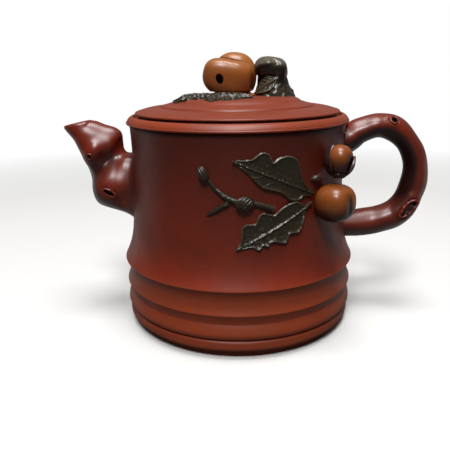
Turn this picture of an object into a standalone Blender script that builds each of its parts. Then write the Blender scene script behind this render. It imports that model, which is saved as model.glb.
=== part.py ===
"""Red clay teapot: a waisted, trunk-shaped body with ribs at its base, a branch spout and a branch
handle, applied leaves, twig and nuts, and a lid that lifts out of a seat in the mouth.

Metres, +Z up. The origin is the centre of the flat foot, on the axis that the body is turned about.
The handle points along +X and the spout along -X. The applied leaves face -Y, which is the front.
Every piece is a separate lump of clay. Where the potter lutes two lumps together with slip,
an open seam is drawn between them, so that the pieces stay separate solids.
"""

import math

import bmesh
import bpy
from mathutils import Matrix, Vector

# Driving dimensions of the pot
SEAM = 0.0003
WALL = 0.0040
RIDGE_RADIUS = 0.0525
RIDGE_HEIGHT = 0.0300
BAND_RADIUS = 0.0521
GROOVE_RADIUS = 0.0506
LIP_RADIUS = 0.0514
FOOT_RADIUS = 0.0485
WAIST_RADIUS = 0.0482
NECK_RADIUS = 0.0472
MOUTH_RADIUS = 0.0453
RIM_RADIUS = 0.0486
NECK_HEIGHT = 0.0890
SEAT_HEIGHT = 0.0913
RIM_HEIGHT = 0.0929
LEDGE_WIDTH = 0.0048
SOFT_EDGE = 0.0008
FLOOR_HEIGHT = 0.0060

# Fineness of the meshes: sides of a turned piece, of a branch and of a twig, and what counts as sharp
TURN_STEPS = 48
LIMB_SIDES = 16
TWIG_SIDES = 8
WELD = 1e-6
SHARP_ANGLE = math.radians(40)

# Clay bodies: colour, roughness
CLAYS = {
    "red_clay": ((0.165, 0.030, 0.013), 0.42),
    "dark_clay": ((0.030, 0.022, 0.014), 0.45),
    "ochre_clay": ((0.330, 0.110, 0.025), 0.34),
    "purple_clay": ((0.045, 0.018, 0.016), 0.40),
}


def clear_scene():
    for old in list(bpy.data.objects):
        bpy.data.objects.remove(old, do_unlink=True)


def clay_material(piece_name, clay_name):
    """A piece's own material, in the colour and finish of its clay."""
    colour, roughness = CLAYS[clay_name]
    made = bpy.data.materials.new(piece_name + "_" + clay_name)
    made.use_nodes = True
    made.diffuse_color = (*colour, 1.0)
    shader = made.node_tree.nodes["Principled BSDF"]
    shader.inputs["Base Color"].default_value = (*colour, 1.0)
    shader.inputs["Roughness"].default_value = roughness
    shader.inputs["Metallic"].default_value = 0.0
    return made


def solid(name, bm, clay_name, parent=None):
    """Turns a finished bmesh into a named object with its faces pointing out."""
    bmesh.ops.remove_doubles(bm, verts=bm.verts[:], dist=WELD)
    bmesh.ops.recalc_face_normals(bm, faces=bm.faces[:])
    mesh = bpy.data.meshes.new(name)
    bm.to_mesh(mesh)
    bm.free()
    mesh.materials.append(clay_material(name, clay_name))
    mesh.shade_smooth()
    mesh.set_sharp_from_angle(angle=SHARP_ANGLE)
    made = bpy.data.objects.new(name, mesh)
    made.parent = parent
    bpy.context.scene.collection.objects.link(made)
    return made


def cutter(name, bm, parent=None):
    """A solid that only cuts other solids."""
    made = solid(name, bm, "red_clay", parent)
    made.hide_render = True
    made.display_type = "WIRE"
    return made


def cut(piece, *tools):
    for tool in tools:
        modifier = piece.modifiers.new("cut_by_" + tool.name, "BOOLEAN")
        modifier.operation = "DIFFERENCE"
        modifier.object = tool
    return piece


def bow(start, end, sag, steps):
    """Outline points from start up to but not including end, on a shallow arc.
    The middle of the arc stands off the chord by sag, to the right of the way that it runs."""
    (r0, z0), (r1, z1) = start, end
    length = math.hypot(r1 - r0, z1 - z0)
    side_r, side_z = (z1 - z0) / length, (r0 - r1) / length
    points = []
    for i in range(steps):
        t = i / steps
        off = 4 * sag * t * (1 - t)
        points.append((r0 + (r1 - r0) * t + side_r * off, z0 + (z1 - z0) * t + side_z * off))
    return points


def turned(outline, steps=TURN_STEPS, ring=True):
    """A bmesh turned about Z from (radius, height) points. A ring outline closes on itself,
    and any other starts and ends on the axis."""
    bm = bmesh.new()
    verts = [bm.verts.new((r, 0, z)) for r, z in outline]
    edges = [bm.edges.new(pair) for pair in zip(verts, verts[1:])]
    if ring:
        edges.append(bm.edges.new((verts[-1], verts[0])))
    bmesh.ops.spin(
        bm, geom=verts + edges, cent=(0, 0, 0), axis=(0, 0, 1), angle=math.tau, steps=steps, use_merge=True
    )
    return bm


def value_at(outline, at):
    """Value of an outline of (key, value) points, sorted by key, at one key."""
    for (a, low), (b, high) in zip(outline, outline[1:]):
        if at <= b:
            t = max(0.0, (at - a) / (b - a))
            return low + (high - low) * t
    return outline[-1][1]


def smooth_stations(stations, steps):
    """A smooth curve through the stations, each a tuple of numbers, with steps points a span."""
    ends = [stations[0], *stations, stations[-1]]
    points = []
    for p0, p1, p2, p3 in zip(ends, ends[1:], ends[2:], ends[3:]):
        for i in range(steps):
            t = i / steps
            blend = (-t + 2 * t**2 - t**3, 2 - 5 * t**2 + 3 * t**3, t + 4 * t**2 - 3 * t**3, t**3 - t**2)
            points.append(
                tuple(
                    0.5 * sum(share * value for share, value in zip(blend, values))
                    for values in zip(p0, p1, p2, p3)
                )
            )
    points.append(stations[-1])
    return points


def lofted(rings):
    """A closed bmesh skinned over rings of points, with flat ends."""
    bm = bmesh.new()
    loops = [[bm.verts.new(point) for point in ring] for ring in rings]
    for near, far in zip(loops, loops[1:]):
        for i in range(len(near)):
            bm.faces.new((near[i - 1], near[i], far[i], far[i - 1]))
    bm.faces.new(loops[0])
    bm.faces.new(loops[-1])
    return bm


# Body wall: a slab of red clay beaten round, waisted above the ridge and ribbed below it
LIP_LOW = 0.0035
LIP_HIGH = 0.0084
BAND_CRESTS = (0.0110, 0.0196)
BAND_GROOVES = (0.0153, 0.0252)
WAIST_HEIGHT = 0.0450
WAIST_SAG = -0.0009
FLARE_SAG = -0.0008
RIB_SAG = 0.0003
RIDGE_EDGE = 0.0004
INNER_FOOT_RADIUS = 0.0455


def wall_outside():
    """The wall's outer outline, from the foot lip up to the neck."""
    lip = [
        (LIP_RADIUS - 0.0012, LIP_LOW),
        (LIP_RADIUS, LIP_LOW + 0.0010),
        (LIP_RADIUS, LIP_HIGH - 0.0007),
        (LIP_RADIUS - 0.0006, LIP_HIGH),
        (LIP_RADIUS - 0.0014, LIP_HIGH + 0.0002),
    ]
    first_crest, second_crest = BAND_CRESTS
    first_groove, second_groove = BAND_GROOVES
    ribs = bow((LIP_RADIUS - 0.0002, LIP_HIGH + 0.0006), (BAND_RADIUS, first_crest), 0.0002, 2)
    ribs += bow((BAND_RADIUS, first_crest), (GROOVE_RADIUS, first_groove), RIB_SAG, 3)
    ribs += bow((GROOVE_RADIUS, first_groove), (BAND_RADIUS, second_crest), -RIB_SAG, 3)
    ribs += bow((BAND_RADIUS, second_crest), (GROOVE_RADIUS, second_groove), RIB_SAG, 3)
    ribs += bow((GROOVE_RADIUS, second_groove), (RIDGE_RADIUS, RIDGE_HEIGHT - RIDGE_EDGE), -RIB_SAG, 3)
    ridge = [(RIDGE_RADIUS, RIDGE_HEIGHT - RIDGE_EDGE)]
    flare = bow((RIDGE_RADIUS, RIDGE_HEIGHT), (WAIST_RADIUS, WAIST_HEIGHT), FLARE_SAG, 5)
    side = bow((WAIST_RADIUS, WAIST_HEIGHT), (NECK_RADIUS, NECK_HEIGHT), WAIST_SAG, 6)
    return lip + ribs + ridge + flare + side + [(NECK_RADIUS, NECK_HEIGHT)]


def wall_inside():
    """The wall's inner outline, from the neck down to the foot."""
    return [
        (NECK_RADIUS - WALL, NECK_HEIGHT),
        (NECK_RADIUS - WALL - 0.0002, 0.0700),
        (WAIST_RADIUS - WALL - 0.0006, WAIST_HEIGHT),
        (INNER_FOOT_RADIUS, RIDGE_HEIGHT),
        (INNER_FOOT_RADIUS, LIP_LOW),
    ]


def wall_radius(height):
    """Radius of the wall's outer face at a height above the ridge."""
    return value_at([(z, r) for r, z in wall_outside() if z >= RIDGE_HEIGHT], height)


def wall_envelope():
    """The wall's outside as a plug, a seam larger, that trims what is luted on."""
    outline = [(r + SEAM, z) for r, z in wall_outside()]
    top = NECK_HEIGHT + 0.0005
    return cutter(
        "wall_envelope", turned([(0, LIP_LOW), *outline, (NECK_RADIUS + SEAM, top), (0, top)], ring=False)
    )


SPOUT_HOLE_RADIUS = 0.0075
SPOUT_HOLE_HEIGHT = 0.0600


def straight_hole(name, radius, start, end, sides=20):
    """A round cutter from start to end."""
    bm = bmesh.new()
    way = Vector(end) - Vector(start)
    turn = way.to_track_quat("Z", "Y").to_matrix().to_4x4()
    place = Matrix.Translation((Vector(start) + Vector(end)) / 2) @ turn
    bmesh.ops.create_cone(
        bm, cap_ends=True, segments=sides, radius1=radius, radius2=radius, depth=way.length, matrix=place
    )
    return cutter(name, bm)


def make_body():
    wall = solid("body_wall", turned(wall_outside() + wall_inside()), "red_clay")
    hole_ends = [(-x, 0, SPOUT_HOLE_HEIGHT) for x in (WAIST_RADIUS + WALL, WAIST_RADIUS - 3 * WALL)]
    cut(wall, straight_hole("spout_hole", SPOUT_HOLE_RADIUS, *hole_ends))

    plug_radius = INNER_FOOT_RADIUS - SEAM
    foot_top = LIP_LOW - SEAM
    base_outline = [
        (0, 0),
        (FOOT_RADIUS - SOFT_EDGE, 0),
        (FOOT_RADIUS, SOFT_EDGE),
        (FOOT_RADIUS, foot_top),
        (plug_radius, foot_top),
        (plug_radius, FLOOR_HEIGHT),
        (0, FLOOR_HEIGHT),
    ]
    solid("base_disc", turned(base_outline, ring=False), "red_clay")

    ring_low = NECK_HEIGHT + SEAM
    ledge_radius = MOUTH_RADIUS - LEDGE_WIDTH
    rim_widest = (RIM_RADIUS, SEAT_HEIGHT - SOFT_EDGE)
    rim_top = (MOUTH_RADIUS + 0.0006, RIM_HEIGHT)
    rim_outline = [
        (ledge_radius, ring_low),
        (NECK_RADIUS, ring_low),
        *bow((NECK_RADIUS + 0.0004, ring_low + 0.0002), rim_widest, -0.0001, 2),
        *bow(rim_widest, rim_top, 0.0004, 4),
        rim_top,
        (MOUTH_RADIUS, RIM_HEIGHT - 0.0002),
        (MOUTH_RADIUS, SEAT_HEIGHT),
        (ledge_radius, SEAT_HEIGHT),
    ]
    solid("mouth_ring", turned(rim_outline), "red_clay")


# Spout: a short stout branch, bent like a beak, with two knuckles and a bore for the tea
# Each station is centre x, centre z, lean of its section in degrees, half height, half width
SPOUT_STATIONS = (
    (-0.0440, 0.0595, 90, 0.0165, 0.0095),
    (-0.0508, 0.0616, 84, 0.0146, 0.0098),
    (-0.0548, 0.0640, 74, 0.0146, 0.0104),
    (-0.0580, 0.0672, 65, 0.0158, 0.0106),
    (-0.0594, 0.0716, 61, 0.0144, 0.0095),
    (-0.0612, 0.0757, 60, 0.0124, 0.0086),
    (-0.0642, 0.0802, 60, 0.0098, 0.0076),
    (-0.0670, 0.0838, 56, 0.0076, 0.0068),
    (-0.0690, 0.0866, 44, 0.0063, 0.0062),
    (-0.0710, 0.0900, 12, 0.0065, 0.0058),
)
SPOUT_BORE = (
    (-0.0400, 0.0600, 90, 0.0072, 0.0072),
    (-0.0520, 0.0622, 80, 0.0078, 0.0070),
    (-0.0594, 0.0716, 61, 0.0084, 0.0064),
    (-0.0645, 0.0800, 58, 0.0062, 0.0052),
    (-0.0690, 0.0866, 44, 0.0044, 0.0042),
    (-0.0711, 0.0902, 12, 0.0047, 0.0042),
    (-0.0722, 0.0940, 12, 0.0047, 0.0042),
)


def spout_ring(station, extra=0.0):
    x, z, lean, half_height, half_width = station
    up = Vector((math.cos(math.radians(lean)), 0, math.sin(math.radians(lean))))
    ring = []
    for i in range(LIMB_SIDES):
        a = math.tau * i / LIMB_SIDES
        ring.append(
            Vector((x, 0, z))
            + up * (half_height + extra) * math.cos(a)
            + Vector((0, half_width + extra, 0)) * math.sin(a)
        )
    return ring


def spout_skin(stations, steps, extra=0.0):
    return lofted([spout_ring(station, extra) for station in smooth_stations(stations, steps)])


def make_spout(envelope):
    spout = solid("spout", spout_skin(SPOUT_STATIONS, 2), "red_clay")
    bore = cutter("spout_bore", spout_skin(SPOUT_BORE, 2))
    return cut(spout, envelope, bore)


# Strainer: a thimble of red clay set in the hole in the wall, pierced to hold back leaves
STRAINER_WALL = 0.0015
STRAINER_HOLE_RADIUS = 0.0011
STRAINER_RING_HOLES = 6


def make_strainer():
    outer = SPOUT_HOLE_RADIUS - SEAM
    inner = outer - STRAINER_WALL
    collar = -0.0040
    arc = [math.radians(a) for a in (67.5, 45, 22.5, 0)]
    outside = [(outer * math.cos(a), outer * math.sin(a)) for a in arc]
    inside = [(inner * math.cos(a), inner * math.sin(a)) for a in reversed(arc)]
    outline = [(0, outer), *outside, (outer, collar), (inner, collar), *inside, (0, inner)]
    shell = solid("strainer", turned(outline, 24, ring=False), "red_clay")

    bm = bmesh.new()
    tilts = [(0, 0)] + [(48, 360 * i / STRAINER_RING_HOLES) for i in range(STRAINER_RING_HOLES)]
    reach = inner + STRAINER_WALL / 2
    for tilt, around in tilts:
        turn = Matrix.Rotation(math.radians(around), 4, "Z") @ Matrix.Rotation(math.radians(tilt), 4, "Y")
        bmesh.ops.create_cone(
            bm,
            cap_ends=True,
            segments=8,
            radius1=STRAINER_HOLE_RADIUS,
            radius2=STRAINER_HOLE_RADIUS,
            depth=3 * STRAINER_WALL,
            matrix=turn @ Matrix.Translation((0, 0, reach)),
        )
    holes = cutter("strainer_holes", bm)
    for piece in (shell, holes):
        piece.location = (-wall_radius(SPOUT_HOLE_HEIGHT) + WALL + SEAM, 0, SPOUT_HOLE_HEIGHT)
        piece.rotation_euler = (0, math.radians(90), 0)
    cut(shell, holes)


# Handle: a branch bent into a loop, each station is x, z, half thickness in the loop, half width
HANDLE_STATIONS = (
    (0.0430, 0.0790, 0.0062, 0.0062),
    (0.0500, 0.0815, 0.0058, 0.0060),
    (0.0545, 0.0845, 0.0054, 0.0057),
    (0.0625, 0.0868, 0.0052, 0.0055),
    (0.0700, 0.0850, 0.0054, 0.0056),
    (0.0760, 0.0790, 0.0049, 0.0054),
    (0.0798, 0.0710, 0.0051, 0.0054),
    (0.0802, 0.0620, 0.0057, 0.0057),
    (0.0780, 0.0535, 0.0060, 0.0060),
    (0.0735, 0.0472, 0.0064, 0.0063),
    (0.0660, 0.0437, 0.0062, 0.0062),
    (0.0570, 0.0422, 0.0061, 0.0062),
    (0.0500, 0.0418, 0.0063, 0.0066),
    (0.0430, 0.0416, 0.0066, 0.0070),
)


def handle_rings(extra=0.0, steps=3):
    line = smooth_stations(HANDLE_STATIONS, steps)
    rings = []
    for i, (x, z, thick, wide) in enumerate(line):
        before, after = line[max(i - 1, 0)], line[min(i + 1, len(line) - 1)]
        way = Vector((after[0] - before[0], 0, after[1] - before[1])).normalized()
        out = Vector((-way.z, 0, way.x))
        rings.append(
            [
                Vector((x, 0, z))
                + out * (thick + extra) * math.cos(math.tau * k / LIMB_SIDES)
                + Vector((0, wide + extra, 0)) * math.sin(math.tau * k / LIMB_SIDES)
                for k in range(LIMB_SIDES)
            ]
        )
    return rings


def make_handle(envelope):
    return cut(solid("handle", lofted(handle_rings()), "red_clay"), envelope)


# Knots: collars of clay round a hollow, where a side shoot was cut from the branch
# Each is the piece's name, its centre, the way that it faces, its radius, and how much longer than wide
HANDLE_KNOTS = (
    ("handle_knot_top", (0.0668, -0.0042, 0.0896), (0.05, -0.76, 0.65), 0.0024, 1.15),
    ("handle_knot_low", (0.0764, -0.0058, 0.0482), (0.35, -0.90, -0.25), 0.0026, 1.8),
)
SPOUT_KNOTS = (
    ("spout_knot_upper", (-0.0652, -0.0074, 0.0752), (-0.30, -0.95, 0.0), 0.0020, 1.1),
    ("spout_knot_lower", (-0.0584, -0.0100, 0.0594), (-0.15, -0.98, -0.10), 0.0022, 1.5),
)


def make_knots(knots, limb_envelope):
    for name, centre, facing, radius, stretch in knots:
        outline = [
            (0, -2.2 * radius),
            (1.25 * radius, -2.2 * radius),
            (1.25 * radius, 0),
            (1.05 * radius, 0.35 * radius),
            (0.80 * radius, 0.40 * radius),
            (0.62 * radius, 0.10 * radius),
            (0.40 * radius, -0.60 * radius),
            (0, -0.75 * radius),
        ]
        bm = turned(outline, 14, ring=False)
        bmesh.ops.scale(bm, vec=(1, stretch, 1), verts=bm.verts[:])
        knot = solid(name, bm, "red_clay")
        knot.location = centre
        knot.rotation_euler = Vector(facing).to_track_quat("Z", "Y").to_euler()
        cut(knot, limb_envelope)


# Ornaments on the wall are laid out on the unrolled wall: metres round from the front, and height
UNROLLED_RADIUS = 0.0475


def on_wall(across, height, lift):
    angle = across / UNROLLED_RADIUS
    radius = wall_radius(height) + lift
    return Vector((radius * math.sin(angle), -radius * math.cos(angle), height))


def wall_facing(across, height):
    """Turns local +Z out of the wall and local +Y up it."""
    out = on_wall(across, height, 1.0) - on_wall(across, height, 0.0)
    return Matrix((Vector((0, 0, 1)).cross(out), (0, 0, 1), out)).transposed().to_euler()


# Leaves: dark clay pressed thin, with a rib down the middle and a toothed edge
# Each edge point is how far along the leaf from its base, and how far out from the midrib
LEAF_THICKNESS = 0.0014
LEAF_RIB = 0.0008
UPPER_LEAF = {
    "base": (0.0312, 0.0652),
    "tip": (-0.0019, 0.0796),
    "left": (
        (0, 0.0008), (0.11, 0.0015), (0.24, 0.0042), (0.29, 0.0067), (0.38, 0.0096), (0.48, 0.0092),
        (0.56, 0.0072), (0.60, 0.0051), (0.64, 0.0061), (0.74, 0.0071), (0.80, 0.0040), (1, 0.0002),
    ),
    "right": (
        (0, 0.0008), (0.12, 0.0022), (0.17, 0.0042), (0.27, 0.0050), (0.36, 0.0041), (0.43, 0.0038),
        (0.59, 0.0045), (0.71, 0.0033), (0.79, 0.0019), (0.90, 0.0008), (1, 0.0002),
    ),
}
LOWER_LEAF = {
    "base": (0.0306, 0.0616),
    "tip": (-0.0008, 0.0459),
    "left": (
        (0, 0.0007), (0.10, 0.0009), (0.17, 0.0042), (0.25, 0.0053), (0.32, 0.0056), (0.39, 0.0053),
        (0.47, 0.0049), (0.56, 0.0077), (0.62, 0.0071), (0.68, 0.0054), (0.76, 0.0066), (0.82, 0.0064),
        (0.86, 0.0036), (0.92, 0.0012), (1, 0.0002),
    ),
    "right": (
        (0, 0.0007), (0.10, 0.0008), (0.21, 0.0040), (0.30, 0.0061), (0.41, 0.0047), (0.49, 0.0067),
        (0.59, 0.0041), (0.64, 0.0035), (0.68, 0.0042), (0.72, 0.0031), (0.78, 0.0037), (0.83, 0.0018),
        (0.92, 0.0009), (1, 0.0002),
    ),
}
LEAF_COLUMNS = (-1.0, -0.55, -0.14, 0.0, 0.14, 0.55, 1.0)


def leaf_lift(column, thickness):
    """Height of the leaf's face above its back, at a share of its half width."""
    crown = thickness * (1 - 0.45 * column * column)
    return crown + (LEAF_RIB if abs(column) < 0.1 else 0.0)


def leaf_solid(name, leaf, lay, thickness, parent=None):
    """A leaf as one solid. lay puts a point of the flat pattern at a height above what it lies on."""
    base, tip = Vector(leaf["base"]), Vector(leaf["tip"])
    side = Vector((base.y - tip.y, tip.x - base.x)).normalized()
    rows = sorted({along for edge in ("left", "right") for along, _ in leaf[edge]})
    bm = bmesh.new()
    faces, backs = [], []
    for along in rows:
        middle = base.lerp(tip, along)
        left, right = (value_at(leaf[edge], along) for edge in ("left", "right"))
        face, back = [], []
        for column in LEAF_COLUMNS:
            spot = middle - side * column * (left if column > 0 else right)
            face.append(bm.verts.new(lay(spot.x, spot.y, SEAM + leaf_lift(column, thickness))))
            back.append(bm.verts.new(lay(spot.x, spot.y, SEAM)))
        faces.append(face)
        backs.append(back)
    last = len(LEAF_COLUMNS) - 1
    for i in range(len(rows) - 1):
        for k in range(last):
            bm.faces.new((faces[i][k], faces[i][k + 1], faces[i + 1][k + 1], faces[i + 1][k]))
            bm.faces.new((backs[i][k], backs[i + 1][k], backs[i + 1][k + 1], backs[i][k + 1]))
        for k in (0, last):
            bm.faces.new((faces[i][k], faces[i + 1][k], backs[i + 1][k], backs[i][k]))
    for i in (0, -1):
        for k in range(last):
            bm.faces.new((faces[i][k], faces[i][k + 1], backs[i][k + 1], backs[i][k]))
    return solid(name, bm, "dark_clay", parent)


def make_wall_leaves():
    leaf_solid("leaf_upper", UPPER_LEAF, on_wall, LEAF_THICKNESS)
    leaf_solid("leaf_lower", LOWER_LEAF, on_wall, LEAF_THICKNESS)


# Twig: rolled dark clay in three lengths, with a ribbed bud at its bend and another at its end
# Each point is metres round the wall, height and radius
TWIGS = {
    "twig_stem": ((0.0128, 0.0616, 0.0013), (0.0098, 0.0628, 0.0012), (0.0062, 0.0637, 0.0011)),
    "twig_branch": (
        (-0.0014, 0.0648, 0.0012), (-0.0046, 0.0665, 0.0011), (-0.0082, 0.0692, 0.0009),
        (-0.0106, 0.0722, 0.0008),
    ),
    "twig_shoot": ((-0.0040, 0.0634, 0.0011), (-0.0076, 0.0615, 0.0010), (-0.0117, 0.0591, 0.0005)),
    "husk_stalk": ((0.0310, 0.0706, 0.0013), (0.0332, 0.0710, 0.0017), (0.0352, 0.0710, 0.0016)),
}
BUDS = {
    "bud_middle": (0.0024, 0.0642, 100, (0.0023, 0.0034, 0.0021)),
    "bud_tip": (-0.0126, 0.0754, 30, (0.0021, 0.0031, 0.0020)),
}


def make_twig(envelope):
    for name, points in TWIGS.items():
        line = smooth_stations(points, 3)
        centres = [on_wall(across, height, SEAM + radius) for across, height, radius in line]
        rings = []
        for i, centre in enumerate(centres):
            way = (centres[min(i + 1, len(centres) - 1)] - centres[max(i - 1, 0)]).normalized()
            out = Vector((centre.x, centre.y, 0)).normalized()
            side = way.cross(out).normalized()
            out = side.cross(way)
            radius = line[i][2]
            rings.append(
                [
                    centre + (out * math.cos(a) + side * math.sin(a)) * radius
                    for a in (math.tau * k / TWIG_SIDES for k in range(TWIG_SIDES))
                ]
            )
        solid(name, lofted(rings), "purple_clay" if name == "husk_stalk" else "dark_clay")
    for name, (across, height, lean, halves) in BUDS.items():
        bm = bmesh.new()
        bmesh.ops.create_uvsphere(bm, u_segments=12, v_segments=8, radius=1.0)
        bmesh.ops.rotate(bm, matrix=Matrix.Rotation(math.radians(90), 3, "X"), verts=bm.verts[:])
        bmesh.ops.scale(bm, vec=halves, verts=bm.verts[:])
        bmesh.ops.rotate(bm, matrix=Matrix.Rotation(math.radians(lean), 3, "Z"), verts=bm.verts[:])
        bud = solid(name, bm, "dark_clay")
        bud.location = on_wall(across, height, 0.8 * halves[2])
        bud.rotation_euler = wall_facing(across, height)
        cut(bud, envelope)


# Nuts: balls of ochre clay with a cleft from end to end, luted beside the handle
NUT_SIDES = (0, 9, 30, 60, 90, 120, 150, 180, 210, 240, 270, 300, 330, 351)
NUT_LATITUDES = 9
NUT_CLEFT = 0.07


def nut_ball(halves):
    """A ball, longest along Z, with a cleft from end to end on its +X side."""
    bm = bmesh.new()
    rings = []
    for j in range(1, NUT_LATITUDES):
        latitude = math.pi * j / NUT_LATITUDES
        ring = []
        for degrees in NUT_SIDES:
            a = math.radians(degrees)
            reach = math.sin(latitude) * (1 - NUT_CLEFT * (degrees == 0))
            spot = Vector((reach * math.cos(a), reach * math.sin(a), -math.cos(latitude)))
            ring.append(bm.verts.new(spot * Vector(halves)))
        rings.append(ring)
    for near, far in zip(rings, rings[1:]):
        for i in range(len(near)):
            bm.faces.new((near[i - 1], near[i], far[i], far[i - 1]))
    for end, ring in ((-1, rings[0]), (1, rings[-1])):
        pole = bm.verts.new((0, 0, end * halves[2]))
        for i in range(len(ring)):
            bm.faces.new((ring[i - 1], ring[i], pole))
    return bm


LOWER_NUT = (0.0383, 0.0609, 0.0058)
LOWER_NUT_HALVES = (0.0078, 0.0075, 0.0075)
UPPER_NUT = (0.0399, 0.0774, 0.0060)
UPPER_NUT_HALVES = (0.0052, 0.0052, 0.0061)
HUSK_GAP = 0.0005
HUSK_THICKNESS = 0.0013


def husk_lobe(halves, around, up, rows=5, columns=4):
    """A curled scale of husk that wraps part of a nut: around and up are its spans in degrees."""
    bm = bmesh.new()
    layers = []
    for extra in (HUSK_GAP, HUSK_GAP + HUSK_THICKNESS):
        sheet = []
        for j in range(rows + 1):
            v = math.radians(up[0] + (up[1] - up[0]) * j / rows)
            narrowing = math.sin(math.pi * (0.14 + 0.72 * j / rows))
            row = []
            for i in range(columns + 1):
                middle, half = sum(around) / 2, (around[1] - around[0]) / 2
                u = math.radians(middle + half * narrowing * (2 * i / columns - 1))
                row.append(
                    bm.verts.new(
                        (
                            (halves[0] + extra) * math.cos(v) * math.cos(u),
                            (halves[1] + extra) * math.cos(v) * math.sin(u),
                            (halves[2] + extra) * math.sin(v),
                        )
                    )
                )
            sheet.append(row)
        layers.append(sheet)
    inner, outer = layers
    for j in range(rows):
        for i in range(columns):
            bm.faces.new((inner[j][i], inner[j][i + 1], inner[j + 1][i + 1], inner[j + 1][i]))
            bm.faces.new((outer[j][i], outer[j + 1][i], outer[j + 1][i + 1], outer[j][i + 1]))
        for i in (0, columns):
            bm.faces.new((inner[j][i], inner[j + 1][i], outer[j + 1][i], outer[j][i]))
    for j in (0, rows):
        for i in range(columns):
            bm.faces.new((inner[j][i], inner[j][i + 1], outer[j][i + 1], outer[j][i]))
    return bm


# Local +Y of a nut is up the wall, so its long axis is turned from Z to Y when it is placed
NUT_UPRIGHT = Matrix.Rotation(math.radians(-90), 3, "X")
HUSK_LOBES = {
    "husk_left": ((92, 158), (-72, 66)),
    "husk_right": ((246, 330), (-76, 14)),
    "husk_front": ((158, 244), (-86, -42)),
}


def place_on_wall(piece, spot):
    across, height, lift = spot
    piece.location = on_wall(across, height, lift)
    piece.rotation_euler = wall_facing(across, height)


def make_wall_nuts(envelope):
    lower = nut_ball(LOWER_NUT_HALVES)
    bmesh.ops.rotate(lower, matrix=NUT_UPRIGHT, verts=lower.verts[:])
    upper = nut_ball(UPPER_NUT_HALVES)
    bmesh.ops.rotate(upper, matrix=NUT_UPRIGHT, verts=upper.verts[:])
    for name, bm, spot in (("nut_lower", lower, LOWER_NUT), ("nut_upper", upper, UPPER_NUT)):
        nut = solid(name, bm, "ochre_clay")
        place_on_wall(nut, spot)
        cut(nut, envelope)
    for name, (around, up) in HUSK_LOBES.items():
        bm = husk_lobe(UPPER_NUT_HALVES, around, up)
        bmesh.ops.rotate(bm, matrix=NUT_UPRIGHT, verts=bm.verts[:])
        lobe = solid(name, bm, "purple_clay")
        place_on_wall(lobe, UPPER_NUT)
        cut(lobe, envelope)


# Lid: a turned plate with a mound in its middle, and a flange below that keeps it in the mouth
# Its heights are measured from the seat in the mouth ring
LID_RADIUS = 0.04485
MOUND_RADIUS = 0.0332
CROWN_HEIGHT = 0.0093
SHOULDER_EASE = 0.0004
FLANGE_RADIUS = 0.0400
FLANGE_WALL = 0.0032
FLANGE_DEPTH = 0.0090
VENT_RADIUS = 0.0012
VENT_PLACE = (-0.0042, -0.0006)


def lid_top():
    """The lid's upper outline, from its edge in to the axis."""
    edge = [(LID_RADIUS, 0.0021), (LID_RADIUS - 0.0006, 0.0028)]
    apron = bow((LID_RADIUS - 0.0016, 0.0030), (MOUND_RADIUS + 0.0010, 0.0037), 0.0001, 2)
    quirk = [(MOUND_RADIUS + 0.0010, 0.0037), (MOUND_RADIUS + 0.0004, 0.0033), (MOUND_RADIUS, 0.0040)]
    shoulder = (0.0240, 0.0087)
    mound = bow((MOUND_RADIUS - 0.0004, 0.0044), (0.0280, 0.0062), -0.0002, 2)
    mound += bow((0.0280, 0.0062), shoulder, 0.0004, 3)
    crown = bow(shoulder, (0, CROWN_HEIGHT), 0.0001, 3)
    return edge + apron + quirk + mound + crown + [(0, CROWN_HEIGHT)]


def on_lid(x, y, lift):
    """A point above the lid's face, eased up a little so that a leaf bridges the mound's shoulder."""
    height = value_at(sorted(lid_top()), math.hypot(x, y))
    return Vector((x, y, height + lift + SHOULDER_EASE))


def make_lid(axis):
    flange_inside = FLANGE_RADIUS - FLANGE_WALL
    under = [(0, 0.0055), (0.0200, 0.0047), (MOUND_RADIUS, 2 * SEAM), (flange_inside, SEAM)]
    outline = [*under, (LID_RADIUS, SEAM), *lid_top()]
    plate = solid("lid_plate", turned(outline, ring=False), "red_clay", axis)
    x, y = VENT_PLACE
    vent = straight_hole("lid_vent", VENT_RADIUS, (x, y, -0.002), (x, y, 0.014), 10)
    vent.parent = axis
    cut(plate, vent)
    flange = [
        (flange_inside, 0),
        (flange_inside, -FLANGE_DEPTH),
        (FLANGE_RADIUS - SOFT_EDGE, -FLANGE_DEPTH),
        (FLANGE_RADIUS, SOFT_EDGE - FLANGE_DEPTH),
        (FLANGE_RADIUS, 0),
    ]
    solid("lid_flange", turned(flange), "red_clay", axis)


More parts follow.
